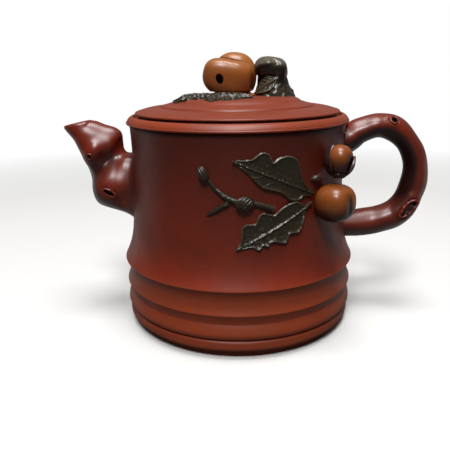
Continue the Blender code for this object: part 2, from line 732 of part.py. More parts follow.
# Lid knob: a cleft nut on a low pad, with the air vent coming out as a worm hole in its side,
# a dark mushroom beside it, and three leaves
KNOB_NUT = (-0.0035, 0, 0.0180)
KNOB_NUT_HALVES = (0.0092, 0.0088, 0.0113)
KNOB_PAD_RADIUS = 0.0066
KNOB_PAD_TOP = 0.0116
WORM_HOLE_RADIUS = 0.0016
WORM_HOLE_MOUTH = (-0.0080, -0.0110, 0.0185)
MUSHROOM_FOOT = (0.0168, 0.0006)
MUSHROOM_LEAN = -4
LID_LEAF_THICKNESS = 0.0010
LID_LEAVES = {
    "lid_leaf_left": {
        "base": (-0.0136, -0.0150),
        "tip": (-0.0280, -0.0108),
        "left": ((0, 0.0040), (0.15, 0.0048), (0.30, 0.0036), (0.50, 0.0042), (0.70, 0.0030), (1, 0.0003)),
        "right": ((0, 0.0044), (0.15, 0.0054), (0.30, 0.0044), (0.50, 0.0050), (0.70, 0.0032), (1, 0.0003)),
    },
    "lid_leaf_front": {
        "base": (-0.0122, -0.0166),
        "tip": (0.0056, -0.0190),
        "left": ((0, 0.0058), (0.15, 0.0080), (0.30, 0.0070), (0.45, 0.0078), (0.65, 0.0050), (1, 0.0003)),
        "right": ((0, 0.0046), (0.15, 0.0058), (0.30, 0.0054), (0.45, 0.0060), (0.65, 0.0044), (1, 0.0003)),
    },
}
STEM_LEAF = {
    "base": (0.0030, 0.0152),
    "tip": (-0.0080, 0.0116),
    "left": ((0, 0.0012), (0.25, 0.0024), (0.50, 0.0022), (0.75, 0.0014), (1, 0.0002)),
    "right": ((0, 0.0010), (0.25, 0.0018), (0.50, 0.0016), (0.75, 0.0010), (1, 0.0002)),
}


def make_knob_nut(axis):
    bm = nut_ball(KNOB_NUT_HALVES)
    # The long axis lies left to right with the tip to the left, and the cleft faces up and forward
    to_left = Matrix.Rotation(math.radians(-90), 3, "Y")
    bmesh.ops.rotate(bm, matrix=to_left, verts=bm.verts[:])
    bmesh.ops.rotate(bm, matrix=Matrix.Rotation(math.radians(28), 3, "X"), verts=bm.verts[:])
    bmesh.ops.translate(bm, vec=KNOB_NUT, verts=bm.verts[:])
    level = bmesh.ops.bisect_plane(
        bm,
        geom=bm.verts[:] + bm.edges[:] + bm.faces[:],
        plane_co=(0, 0, KNOB_PAD_TOP),
        plane_no=(0, 0, -1),
        clear_outer=True,
    )
    rim = [e for e in level["geom_cut"] if isinstance(e, bmesh.types.BMEdge)]
    bmesh.ops.holes_fill(bm, edges=rim)
    nut = solid("lid_nut", bm, "ochre_clay", axis)
    vent_top = (*VENT_PLACE, CROWN_HEIGHT)
    worm_hole = straight_hole("worm_hole", WORM_HOLE_RADIUS, WORM_HOLE_MOUTH, vent_top, 12)
    worm_hole.parent = axis
    cut(nut, worm_hole)

    pad_low = CROWN_HEIGHT + SEAM
    pad_hole = 2 * WORM_HOLE_RADIUS
    outline = [
        (pad_hole, pad_low),
        (KNOB_PAD_RADIUS, pad_low),
        (KNOB_PAD_RADIUS + SEAM, pad_low + 2 * SEAM),
        (KNOB_PAD_RADIUS, KNOB_PAD_TOP - SEAM),
        (pad_hole, KNOB_PAD_TOP - SEAM),
    ]
    pad = solid("lid_nut_pad", turned(outline, 24), "ochre_clay", axis)
    pad.location = (KNOB_NUT[0], 0, 0)


STEM_TOP = 0.0174
STEM_SIDE = ((0.0088, 0.0040), (0.0080, 0.0095), (0.0070, 0.0118), (0.0058, 0.0143), (0.0050, STEM_TOP))
STEM_RADIUS = 0.0062
CAP_RADIUS = 0.0068
CAP_TOP = 0.0252


def on_stem(across, height, lift):
    """A point on the mushroom's stem: metres round from its front, and height."""
    radius = value_at([(z, r) for r, z in STEM_SIDE], height) + lift
    angle = across / STEM_RADIUS
    return Vector((radius * math.sin(angle), -radius * math.cos(angle), height))


def make_mushroom(axis, lid_envelope):
    stem = turned([(0, STEM_SIDE[0][1]), *STEM_SIDE, (0, STEM_TOP)], 20, ring=False)
    cap_low = STEM_TOP + SEAM
    brim = (CAP_RADIUS, 0.5 * (cap_low + CAP_TOP))
    cap = [
        (0, cap_low),
        (0.7 * CAP_RADIUS, cap_low),
        *bow((0.9 * CAP_RADIUS, cap_low + 2 * SEAM), brim, 0.0005, 2),
        *bow(brim, (0, CAP_TOP), 0.0017, 5),
        (0, CAP_TOP),
    ]
    stem_piece = solid("mushroom_stem", stem, "dark_clay", axis)
    cap_piece = solid("mushroom_cap", turned(cap, 20, ring=False), "dark_clay", axis)
    leaf = leaf_solid("mushroom_leaf", STEM_LEAF, on_stem, LID_LEAF_THICKNESS, axis)
    for piece in (stem_piece, cap_piece, leaf):
        piece.location = (*MUSHROOM_FOOT, 0)
        piece.rotation_euler = (0, math.radians(MUSHROOM_LEAN), 0)
    cut(stem_piece, lid_envelope)


def make_lid_ornaments(axis):
    raised = [(r, z + SEAM) for r, z in lid_top()]
    plug = turned([(0, 0), (LID_RADIUS, 0), *raised], ring=False)
    lid_envelope = cutter("lid_envelope", plug, axis)
    make_knob_nut(axis)
    make_mushroom(axis, lid_envelope)
    for name, leaf in LID_LEAVES.items():
        leaf_solid(name, leaf, on_lid, LID_LEAF_THICKNESS, axis)


def main():
    clear_scene()
    envelope = wall_envelope()
    make_body()
    make_spout(envelope)
    make_strainer()
    make_handle(envelope)
    make_knots(HANDLE_KNOTS, cutter("handle_envelope", lofted(handle_rings(SEAM))))
    make_knots(SPOUT_KNOTS, cutter("spout_envelope", spout_skin(SPOUT_STATIONS, 2, SEAM)))
    make_wall_leaves()
    make_twig(envelope)
    make_wall_nuts(envelope)

    lid_axis = bpy.data.objects.new("lid_axis", None)
    lid_axis.location = (0, 0, SEAT_HEIGHT)
    bpy.context.scene.collection.objects.link(lid_axis)
    make_lid(lid_axis)
    make_lid_ornaments(lid_axis)


main()
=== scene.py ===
"""The looks of a red clay teapot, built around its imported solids.

Metres, +Z up, in the part's own frame: the origin is the centre of the foot, the handle points along +X,
the spout along -X, and the applied leaves face -Y. Sizes are written in millimetres and turned by MM.
"""

import math

import bpy
import numpy as np
from mathutils import Matrix, Vector, noise


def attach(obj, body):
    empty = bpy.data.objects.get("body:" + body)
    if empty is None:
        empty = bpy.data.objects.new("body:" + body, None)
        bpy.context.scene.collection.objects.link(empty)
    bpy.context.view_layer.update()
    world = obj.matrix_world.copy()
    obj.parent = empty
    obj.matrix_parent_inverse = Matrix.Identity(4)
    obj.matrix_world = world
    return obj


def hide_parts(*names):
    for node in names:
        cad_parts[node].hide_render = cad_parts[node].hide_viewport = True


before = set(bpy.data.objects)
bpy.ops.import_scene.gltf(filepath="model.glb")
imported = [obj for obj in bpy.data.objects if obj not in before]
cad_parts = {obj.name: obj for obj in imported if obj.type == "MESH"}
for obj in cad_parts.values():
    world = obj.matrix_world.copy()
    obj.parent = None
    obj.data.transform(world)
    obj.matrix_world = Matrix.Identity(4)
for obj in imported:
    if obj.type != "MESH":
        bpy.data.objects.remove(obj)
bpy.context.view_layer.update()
MM = 0.001

# Camera: an eye a little above the lid, close to the pot and tipped down at it, as the photograph was taken.
# The photograph is square, and its focal length is given in its own pixels.
PHOTO_WIDTH = 450
PHOTO_FOCUS = 520.1
SENSOR_WIDTH = 36
EYE = (0, -234.6 * MM, 112.4 * MM)
PITCH, YAW, ROLL = (math.radians(degrees) for degrees in (16.89, -1.47, -0.84))

look = Vector((math.sin(YAW) * math.cos(PITCH), math.cos(YAW) * math.cos(PITCH), -math.sin(PITCH)))
turn_to_look = look.to_track_quat("-Z", "Y").to_matrix() @ Matrix.Rotation(ROLL, 3, "Z")
bpy.ops.object.camera_add(location=EYE, rotation=turn_to_look.to_euler())
camera = bpy.context.object
camera.data.sensor_width = SENSOR_WIDTH
camera.data.lens = SENSOR_WIDTH * PHOTO_FOCUS / PHOTO_WIDTH
bpy.context.scene.camera = camera


# Base disc: a flat disc of red clay beaten out on the board, which closes the pot's foot.
# It is luted under the wall, and its edge shows as a narrow dark step below the lip.

# A row of an outline is a radius and a height. With two more numbers it also starts an arc to the next row:
# how far that bows to the right of its way, and its steps. A row of no steps is only where an arc aims.
BASE_OUTLINE = ((0, 0), (47.7, 0, 0.15, 3), (48.5, 0.8), (48.5, 3.2), (45.2, 3.2), (45.2, 6.0), (0, 6.0))
TURN_STEPS = 200
EASED_WIDTH, EASED_ANGLE = 0.22, math.radians(28)
SMOOTH_ANGLE = math.radians(50)
MERGED_GAP = 0.005 * MM
# A grain's scale is worked out from its size. The grit is drawn coarser than real, so that it shows.
# In a span, 1 and 2 are where a tint starts and ends, and 3 and 4 are its shares there.
CLOUDS = {"Scale": 1 / (14.0 * MM), "Detail": 3.0, "Roughness": 0.55}
GRIT = {"Scale": 1 / (0.45 * MM), "Detail": 2.0, "Roughness": 0.60}
RINGS = {"Scale": 1 / (0.9 * MM), "Detail": 3.0, "Roughness": 0.70}
CLOUD_SPAN = {1: 0.35, 2: 0.70, 3: 0.0, 4: 0.40}
GRIT_SPAN = {1: 0.45, 2: 0.80, 3: 0.0, 4: 0.22}
HOLLOW_SHADE_SPAN = {1: 0.40, 2: 0.475, 3: 1.0, 4: 0.0}
WORN_AND_LIT_EDGE_SPAN = {1: 0.53, 2: 0.61, 3: 0.0}
SHEEN_SPAN, SHEEN_LOW, SHEEN_HIGH = {1: 0.3, 2: 0.7}, -0.05, 0.07
RING_RELIEF, BUMP_STRENGTH, BUMP_DEPTH = 2.0, 0.3, 0.05 * MM
COAT_ROUGHNESS = 0.25


def linear(hex_colour):
    """An sRGB hex colour as the linear colour that a shader takes."""
    shares = [int(hex_colour[i : i + 2], 16) / 255 for i in (1, 3, 5)]
    return (*(c / 12.92 if c <= 0.04045 else ((c + 0.055) / 1.055) ** 2.4 for c in shares), 1.0)


def add_node(tree, kind, settings=None, links=None):
    """Adds a shader node. A setting is a socket's value or a property, and a link brings a socket
    to an input."""
    node = tree.nodes.new(kind)
    for key, value in (settings or {}).items():
        if isinstance(key, int) or key in node.inputs:
            node.inputs[key].default_value = value
        else:
            setattr(node, key, value)
    for key, source in (links or {}).items():
        tree.links.new(source, node.inputs[key])
    return node


def fired_clay(name, slot, cloud, body, pale_for_wear_and_light, shaded_and_stained, roughness, shine, coat, edge_wear_and_sheen, turned=False):
    """Unglazed stoneware, scraped smooth and burnished: fine grit, cloudy colour from the kiln, painted shade
    in the hollows, and edges paler, partly from wear and partly as a painted highlight. A piece can also keep
    layers of painted shade and stain, and of painted light and wear. A turned piece also has fine tool rings.
    Returns the clay's material and slot."""
    material = bpy.data.materials.new(name)
    material.use_nodes = True
    tree = material.node_tree
    shader = tree.nodes["Principled BSDF"]
    place = add_node(tree, "ShaderNodeTexCoord").outputs["Object"]
    clouds = add_node(tree, "ShaderNodeTexNoise", CLOUDS, {"Vector": place}).outputs["Fac"]
    grit = add_node(tree, "ShaderNodeTexNoise", GRIT, {"Vector": place}).outputs["Fac"]
    edges = add_node(tree, "ShaderNodeNewGeometry").outputs["Pointiness"]
    # Pointiness paints shade into the hollows, and pales the edges, partly as wear and partly as a painted
    # highlight.
    painted_hollow_shade = add_node(tree, "ShaderNodeMapRange", HOLLOW_SHADE_SPAN, {0: edges}).outputs[0]
    edges_worn_and_lit = add_node(tree, "ShaderNodeMapRange", {**WORN_AND_LIT_EDGE_SPAN, 4: edge_wear_and_sheen}, {0: edges}).outputs[0]
    # Layers that a piece keeps: painted light and wear, and painted shade and stain.
    lit_and_worn_here = add_node(tree, "ShaderNodeAttribute", {"attribute_name": "lit_and_worn"}).outputs["Fac"]
    shade_and_stain_here = add_node(tree, "ShaderNodeAttribute", {"attribute_name": "shade_and_stain"}).outputs["Fac"]
    cloudy = add_node(tree, "ShaderNodeMapRange", CLOUD_SPAN, {0: clouds})
    gritty = add_node(tree, "ShaderNodeMapRange", GRIT_SPAN, {0: grit})
    lit_and_worn = add_node(tree, "ShaderNodeMath", {"operation": "MAXIMUM"}, {0: edges_worn_and_lit, 1: lit_and_worn_here})
    shade_and_stain = add_node(tree, "ShaderNodeMath", {"operation": "MAXIMUM"}, {0: painted_hollow_shade, 1: shade_and_stain_here})

    settings = {"data_type": "RGBA", 6: linear(body), 7: linear(cloud)}
    colour = add_node(tree, "ShaderNodeMix", settings, {0: cloudy.outputs[0]})
    for share, tint in ((gritty, pale_for_wear_and_light), (lit_and_worn, pale_for_wear_and_light), (shade_and_stain, shaded_and_stained)):
        settings = {"data_type": "RGBA", 7: linear(tint)}
        colour = add_node(tree, "ShaderNodeMix", settings, {0: share.outputs[0], 6: colour.outputs[2]})
    tree.links.new(colour.outputs[2], shader.inputs["Base Color"])

    relief = grit
    if turned:
        flat = add_node(tree, "ShaderNodeVectorMath", {"operation": "MULTIPLY", 1: (1, 1, 0)}, {0: place})
        radius = add_node(tree, "ShaderNodeVectorMath", {"operation": "LENGTH"}, {0: flat.outputs[0]})
        height = add_node(tree, "ShaderNodeSeparateXYZ", {}, {0: place}).outputs["Z"]
        ring_place = add_node(tree, "ShaderNodeCombineXYZ", {}, {"X": radius.outputs["Value"], "Z": height})
        rings = add_node(tree, "ShaderNodeTexNoise", RINGS, {"Vector": ring_place.outputs[0]})
        settings = {"operation": "MULTIPLY_ADD", 1: RING_RELIEF}
        relief = add_node(tree, "ShaderNodeMath", settings, {0: rings.outputs["Fac"], 2: grit}).outputs[0]
    settings = {"Strength": BUMP_STRENGTH, "Distance": BUMP_DEPTH}
    bump = add_node(tree, "ShaderNodeBump", settings, {"Height": relief})
    settings = {**SHEEN_SPAN, 3: roughness + SHEEN_LOW, 4: roughness + SHEEN_HIGH}
    sheen = add_node(tree, "ShaderNodeMapRange", settings, {0: clouds})
    tree.links.new(sheen.outputs[0], shader.inputs["Roughness"])
    tree.links.new(bump.outputs[0], shader.inputs["Normal"])
    shader.inputs["Specular IOR Level"].default_value = shine
    shader.inputs["Coat Weight"].default_value = coat
    shader.inputs["Coat Roughness"].default_value = COAT_ROUGHNESS
    return material, slot


def bowed(rows):
    """The points of an outline, with its arcs worked out."""
    points = []
    for here, there in zip(rows, [*rows[1:], rows[-1]]):
        if len(here) == 2:
            points.append(here)
            continue
        r, z, sag, steps = here
        across, up = there[0] - r, there[1] - z
        for i in range(steps):
            t = i / steps
            off = 4 * sag * t * (1 - t) / math.hypot(across, up)
            points.append((r + across * t + up * off, z + up * t - across * off))
    return points


def start_piece(name, shape, **settings):
    """Adds a plain mesh to work on, such as a plane or a cube."""
    bpy.ops.object.select_all(action="DESELECT")
    getattr(bpy.ops.mesh, f"primitive_{shape}_add")(**settings)
    piece = bpy.context.object
    piece.name = piece.data.name = name
    return piece


def take_up(piece):
    """Selects a piece alone, to work on it."""
    bpy.ops.object.select_all(action="DESELECT")
    bpy.context.view_layer.objects.active = piece
    piece.select_set(True)


def close_mesh(piece):
    """Merges what meets and turns every face outwards."""
    take_up(piece)
    bpy.ops.object.mode_set(mode="EDIT")
    bpy.ops.mesh.select_all(action="SELECT")
    bpy.ops.mesh.remove_doubles(threshold=MERGED_GAP)
    bpy.ops.mesh.normals_make_consistent(inside=False)
    bpy.ops.object.mode_set(mode="OBJECT")
    return piece


def apply_modifier(piece, kind, **settings):
    modifier = piece.modifiers.new(kind.lower(), kind)
    for key, value in settings.items():
        setattr(modifier, key, value)
    bpy.context.view_layer.objects.active = piece
    bpy.ops.object.modifier_apply(modifier=modifier.name)


def turn(name, outline, steps=TURN_STEPS, edge=EASED_WIDTH):
    """Turns an outline about Z. One that keeps off the axis closes on itself. Its sharp edges are eased
    with wet leather."""
    piece = start_piece(name, "plane", size=MM)
    path = [(r * MM, 0, z * MM) for r, z in bowed(outline)]
    if outline[0][0] > 0:
        path.append(path[0])
    bpy.ops.object.mode_set(mode="EDIT")
    bpy.ops.mesh.select_all(action="SELECT")
    bpy.ops.mesh.merge(type="CENTER")
    bpy.ops.transform.translate(value=path[0])
    for here, there in zip(path, path[1:]):
        step = Vector(there) - Vector(here)
        bpy.ops.mesh.extrude_region_move(TRANSFORM_OT_translate={"value": step})
    bpy.ops.mesh.select_all(action="SELECT")
    bpy.ops.mesh.spin(steps=steps, angle=math.tau, center=(0, 0, 0), axis=(0, 0, 1))
    bpy.ops.object.mode_set(mode="OBJECT")
    close_mesh(piece)
    apply_modifier(
        piece, "BEVEL", width=edge * MM, segments=2, limit_method="ANGLE", angle_limit=EASED_ANGLE
    )
    return piece


def finish_piece(piece, clay, body, node):
    """Smooths a piece, gives it its clay, and lets it stand for its solid on a body."""
    material, slot = clay
    take_up(piece)
    bpy.ops.object.shade_smooth_by_angle(angle=SMOOTH_ANGLE)
    piece.data.materials.clear()
    piece.data.materials.append(material)
    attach(piece, body)
    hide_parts(node)
    return piece


# Turned red stoneware: a dull, warm brown red, cloudy with smoke, under the fine level rings of the tool.
turned_red_clay = fired_clay(
    "turned_red_stoneware", "red_clay", "#4e1509", "#892c15", "#984726", "#290a05",
    roughness=0.43, shine=0.50, coat=0.0, edge_wear_and_sheen=0.8, turned=True,
)
base = turn("base_disc_clay", BASE_OUTLINE)
finish_piece(base, turned_red_clay, "pot", "base_disc")


# Body wall: a slab of red clay beaten round into a drum, waisted above a sharp ridge, with two hollow bands
# and a rounded lip cut into it below. A ribbon tool leaves its faint level rings all over it.
LIP = (
    (50.2, 3.5, 0.20, 4), (51.4, 4.6, 0.10, 4), (51.45, 6.4, 0.50, 8), (50.1, 8.4, 0, 0), (49.5, 8.5),
    (49.5, 8.8),
)
BANDS = (
    (51.3, 8.9, 0.22, 5), (52.1, 11.0, 0.22, 8), (50.6, 15.3, -0.20, 8), (52.1, 19.6, -0.30, 8),
    (50.6, 25.2, -0.42, 8),
)
SIDE = ((52.5, 30.0, -0.8, 16), (48.2, 45.0, -0.9, 28), (47.2, 89.0))
INSIDE = ((43.2, 89.0), (43.0, 70.0, -0.2, 8), (45.5, 30.0), (45.5, 3.5))
WALL = 4.0
SPOUT_HOLE_HEIGHT, SPOUT_HOLE_RADIUS = 60.0, 7.5
SPOUT_HOLE_ENDS = (-54, -36)
# A fade is where it starts, where it is full, and its share there. These go by height.
RIM_SHADE_FADES = ((31.0, 37.0, 0.26), (38.0, 89.0, 0.46))
RIM_SHADE_OUTSIDE = 45.7
LIT_BANDS = (31.0, 30.0, 0.5)


def drill(piece, start, end, radius, sides=48, rings=4):
    """Cuts a straight round hole from start to end."""
    way = Vector(end) - Vector(start)
    side = [(radius, way.length * i / rings) for i in range(rings + 1)]
    bit = turn("drill_bit", [(0, 0), *side, (0, way.length)], steps=sides, edge=0.02)
    bit.data.transform(
        Matrix.Translation(Vector(start) * MM) @ way.to_track_quat("Z", "Y").to_matrix().to_4x4()
    )
    apply_modifier(piece, "BOOLEAN", object=bit, operation="DIFFERENCE")
    bpy.data.objects.remove(bit)
    return piece


def points_of(piece):
    """The places of a piece's points in millimetres, and the ways that its surface faces there."""
    spots, facings = np.empty(3 * len(piece.data.vertices)), np.empty(3 * len(piece.data.vertices))
    piece.data.vertices.foreach_get("co", spots)
    piece.data.vertex_normals.foreach_get("vector", facings)
    return spots.reshape(-1, 3) / MM, facings.reshape(-1, 3)


def paint(piece, name, share):
    """Keeps a share from 0 to 1 at every point for the clay to read: one layer darkens it with painted shade
    and stain, and the other pales it with painted light and wear."""
    layer = piece.data.attributes.new(name, "FLOAT", "POINT")
    layer.data.foreach_set("value", share(*points_of(piece)))


def fade(values, start, full, most=1.0):
    """Shares that grow from 0, where values are at a start, to the most, where they are full."""
    return most * np.clip((values - start) / (full - start), 0, 1)


def by_height(*heights):
    """A share to paint that fades with height."""
    return lambda spots, facings: fade(spots[:, 2], *heights)


def by_slope(*slopes):
    """A share to paint that fades with how far the surface faces up, from -1 to 1."""
    return lambda spots, facings: fade(facings[:, 2], *slopes)


def painted_rim_shade(spots, facings):
    """Painted shade under the rim's overhang darkens the outside of the wall towards it."""
    outside = np.hypot(spots[:, 0], spots[:, 1]) > RIM_SHADE_OUTSIDE
    return sum(fade(spots[:, 2], *heights) for heights in RIM_SHADE_FADES) * outside


wall = turn("body_wall_clay", LIP + BANDS + SIDE + INSIDE)
drill(wall, *((x, 0, SPOUT_HOLE_HEIGHT) for x in SPOUT_HOLE_ENDS), SPOUT_HOLE_RADIUS)
# Painted shade darkens the upper wall under the rim.
paint(wall, "shade_and_stain", painted_rim_shade)
# Painted light pales the bands and the lip below the ridge.
paint(wall, "lit_and_worn", by_height(*LIT_BANDS))
finish_piece(wall, turned_red_clay, "pot", "body_wall")
wall_radii, wall_heights = zip(*bowed(SIDE))


# Mouth ring: a ring of red clay luted round the top of the wall, with a sloping rim that overhangs it.
# Inside it is the ledge that the lid rests on.
RIM_OUTLINE = (
    (40.5, 89.3), (47.1, 89.3), (47.4, 89.3, -0.15, 4), (48.45, 89.65, 0.14, 4), (48.5, 90.55, 0, 0),
    (48.25, 90.63), (48.3, 90.75, 0.30, 10), (46.0, 92.9, 0.12, 4), (45.3, 92.4, 0, 0), (45.3, 91.3),
    (40.5, 91.3),
)
TOP_LIGHT, FACING_UP = 0.4, 0.1


def lit_top(spots, facings):
    """Painted light: what faces up is a little paler."""
    return TOP_LIGHT * (facings[:, 2] > FACING_UP)


mouth_ring = turn("mouth_ring_clay", RIM_OUTLINE, edge=0.12)
# Painted light pales what faces up on the rim.
paint(mouth_ring, "lit_and_worn", lit_top)
finish_piece(mouth_ring, turned_red_clay, "pot", "mouth_ring")


# Strainer: a thimble of red clay, thrown off the hump and pierced with a needle, set into the wall's hole
# from inside. It keeps the tea leaves out of the spout.
# A ring of its holes is their tilt from the middle in degrees and their number.
STRAINER_RADIUS, STRAINER_WALL, STRAINER_COLLAR = 7.2, 1.5, 4.0
STRAINER_HOLE, STRAINER_RINGS = 1.1, ((0, 1), (48, 6))
DRILLED_PAST = 1.5
SEAM = 0.3
inner_dome = STRAINER_RADIUS - STRAINER_WALL
quarter = [math.radians(degrees) for degrees in range(85, -1, -5)]
dome_outline = [
    (0, STRAINER_RADIUS),
    *((STRAINER_RADIUS * math.cos(a), STRAINER_RADIUS * math.sin(a)) for a in quarter),
    (STRAINER_RADIUS, -STRAINER_COLLAR),
    (inner_dome, -STRAINER_COLLAR),
    *((inner_dome * math.cos(a), inner_dome * math.sin(a)) for a in reversed(quarter)),
    (0, inner_dome),
]
strainer = turn("strainer_clay", dome_outline, steps=64, edge=0.3)
for tilt, turns in STRAINER_RINGS:
    for i in range(turns):
        aim = Vector((math.sin(math.radians(tilt)), 0, math.cos(math.radians(tilt))))
        aim.rotate(Matrix.Rotation(math.tau * i / turns, 3, "Z"))
        ends = (aim * (inner_dome - DRILLED_PAST), aim * (STRAINER_RADIUS + DRILLED_PAST))
        drill(strainer, *ends, STRAINER_HOLE, sides=16)
wall_at_hole = float(np.interp(SPOUT_HOLE_HEIGHT, wall_heights, wall_radii))
strainer_place = Vector((-wall_at_hole + WALL + SEAM, 0, SPOUT_HOLE_HEIGHT)) * MM
strainer.data.transform(Matrix.Translation(strainer_place) @ Matrix.Rotation(math.radians(90), 4, "Y"))
finish_piece(strainer, turned_red_clay, "pot", "strainer")


# Spout: a short stump of branch, rolled hollow from red clay, bent like a beak and pinched into two knuckles
# with a crease between them. Its top is cut to a slope, and it is rubbed to a shine.

# A station is centre x, centre z, lean of its section in degrees, half height, half width, and how much
# narrower its section is above than below.
SPOUT_OUTSIDE = (
    (-43.0, 59.3, 90, 18.3, 15.0, 0.0),
    (-46.0, 60.4, 88, 16.0, 12.2, 0.05),
    (-48.5, 61.4, 86, 14.7, 10.8, 0.12),
    (-51.2, 62.3, 84, 14.1, 10.2, 0.16),
    (-54.8, 64.2, 74, 14.4, 10.2, 0.18),
    (-58.0, 67.2, 65, 15.8, 10.0, 0.15),
    (-59.2, 71.9, 61, 14.8, 9.2, 0.16),
    (-61.0, 76.0, 60, 12.8, 8.5, 0.20),
    (-64.2, 80.2, 60, 9.8, 7.8, 0.22),
    (-67.0, 83.8, 56, 7.6, 7.0, 0.22),
    (-69.0, 86.4, 42, 6.1, 6.3, 0.15),
    (-71.1, 88.7, 12, 6.6, 5.8, 0.0),
)
SPOUT_LIP = (
    (-71.1, 89.2, 11, 6.4, 5.6, 0.0),
    (-71.2, 89.5, 11, 5.8, 5.0, 0.0),
    (-71.2, 89.2, 11, 5.2, 4.5, 0.0),
)
SPOUT_INSIDE = (
    (-69.0, 86.6, 44, 4.4, 4.0, 0.0),
    (-64.5, 80.0, 58, 5.4, 4.2, 0.0),
    (-59.4, 71.6, 61, 6.4, 4.6, 0.0),
    (-52.0, 62.2, 80, 7.0, 6.0, 0.0),
    (-44.0, 60.2, 90, 7.3, 7.2, 0.0),
)
SPOUT_SIDES = 128
STEPS_PER_STATION, STEPS_ON_LIP = 10, 4
# A stroke of the modelling tool is its path, here by x and z, its radius, and how far it lifts the clay.
CREASE = [(-56.5, 74.3), (-61.9, 70.5), (-66, 67)]
LOWER_ARRIS = [(-67.5, 75), (-64.2, 66.8), (-62, 61), (-60.3, 57.2), (-54.3, 53), (-46.6, 48)]
BOTH_FLANKS = (
    (CREASE, 6.4, -2.3),
    ([(-47.5, 78.4), (-53.8, 75.8), (-57.5, 74)], 3.8, -1.3),
    ([(-49.8, 73), (-50.8, 62)], 4.8, 1.1),
    ([(-56.5, 62), (-58.5, 59.5)], 9.5, 1.9),
    (LOWER_ARRIS, 3.0, 0.5),
    ([(-52.5, 79.8)], 4.2, -1.5),
)
FRONT_FLANK = (
    ([(-62.6, 78.6), (-64.6, 76.0)], 4.2, 1.3),
    ([(-59.0, 62.3), (-55.0, 60.2)], 2.6, 0.5),
    ([(-57.6, 58.2), (-53.6, 56.9)], 2.2, 0.6),
)
SIDE_SHARPNESS = 3
WORKED_LEFT_OF, WORKED_BELOW = -44, 85
CREASE_SHADE, ROOT_SHADE, UNDER_SHADE = (6.6, 1.1, 0.75), (-50.5, -47.0, 0.6), (-0.875, 1.25, 0.85)


def curve_through(stations, steps):
    """A smooth run of stations through the given ones, with steps to each gap."""
    ends = [stations[0], *stations, stations[-1]]
    run = []
    for p0, p1, p2, p3 in zip(ends, ends[1:], ends[2:], ends[3:]):
        for i in range(steps):
            t = i / steps
            blend = (-t + 2 * t**2 - t**3, 2 - 5 * t**2 + 3 * t**3, t + 4 * t**2 - 3 * t**3, t**3 - t**2)
            run.append(tuple(0.5 * float(np.dot(blend, values)) for values in zip(p0, p1, p2, p3)))
    return [*run, stations[-1]]


def roll_sheet(name, around, along, place):
    """A sheet of clay rolled into shape: place puts the point at column i and row j, counted from 0,
    in millimetres."""
    piece = start_piece(name, "grid", x_subdivisions=around, y_subdivisions=along, size=1)
    for vertex in piece.data.vertices:
        column = round((vertex.co.x + 0.5) * around)
        row = round((vertex.co.y + 0.5) * along)
        vertex.co = Vector(place(column, row)) * MM
    return close_mesh(piece)


def set_points(piece, spots):
    piece.data.vertices.foreach_set("co", (spots * MM).ravel())
    piece.data.update()
    return piece


def distance_to(path, spots):
    """How far each spot is from a path of straight steps."""
    nearest = np.full(len(spots), np.inf)
    for start, end in zip(path, path[1:] or path):
        start, step = np.array(start), np.subtract(end, start)
        share = np.clip((spots - start) @ step / max(step @ step, 1e-9), 0, 1)
        nearest = np.minimum(nearest, np.linalg.norm(spots - start - share[:, None] * step, axis=1))
    return nearest


def sculpt(piece, *strokes, side=0):
    """Works a surface with a modelling tool. A stroke is its path, the tool's radius, and how far it lifts
    the clay, or presses it where that is negative. On the side that faces -Y or +Y, a path is x and z
    alone."""
    spots, facings = points_of(piece)
    seen = np.clip(SIDE_SHARPNESS * side * facings[:, 1], 0, 1) * (side * spots[:, 1] > 0) if side else 1
    kept = (0, 2) if side else (0, 1, 2)
    for path, radius, lift in strokes:
        felt = np.clip(1 - (distance_to(path, spots[:, kept]) / radius) ** 2, 0, 1) ** 2 * seen
        spots += facings * (lift * felt)[:, None]
    return set_points(piece, spots)


def knead(piece, size, depth):
    """Leaves the slight unevenness of modelled clay in a surface: lumps of a size, up to a depth."""
    spots, facings = points_of(piece)
    lumps = np.array([noise.noise(spot) for spot in spots / size])
    return set_points(piece, spots + facings * (depth * lumps)[:, None])


# Rolled red stoneware: darker than the wall, with a soft gloss where use polishes it, and painted shade that
# turns its creases black.
red_clay = fired_clay(
    "rolled_red_stoneware", "red_clay", "#3a1008", "#722411", "#923a20", "#140705",
    roughness=0.36, shine=0.50, coat=0.25, edge_wear_and_sheen=0.5,
)
spout_rings = [
    *curve_through(SPOUT_OUTSIDE, STEPS_PER_STATION),
    *curve_through(SPOUT_LIP, STEPS_ON_LIP),
    *curve_through(SPOUT_INSIDE, STEPS_PER_STATION),
]


def spout_point(column, row):
    """The rings run up the outside, over the lip and down the inside, and back to the first one."""
    x, z, lean, half_height, half_width, narrowing = spout_rings[row % len(spout_rings)]
    a = math.tau * column / SPOUT_SIDES
    up = math.cos(a) * half_height
    lean = math.radians(lean)
    out = half_width * math.sin(a) * (1 - narrowing * math.cos(a))
    return (x + up * math.cos(lean), out, z + up * math.sin(lean))


spout = roll_sheet("spout_clay", SPOUT_SIDES, len(spout_rings), spout_point)
for side in (-1, 1):
    sculpt(spout, *BOTH_FLANKS, side=side)
sculpt(spout, *FRONT_FLANK, side=-1)
spots, _ = points_of(spout)
worked = spout.vertex_groups.new(name="worked")
is_worked = (spots[:, 2] < WORKED_BELOW) & (spots[:, 0] < WORKED_LEFT_OF)
worked.add(np.flatnonzero(is_worked).tolist(), 1.0, "REPLACE")
apply_modifier(spout, "SMOOTH", factor=0.5, iterations=30, vertex_group="worked")
knead(spout, size=7, depth=0.2)


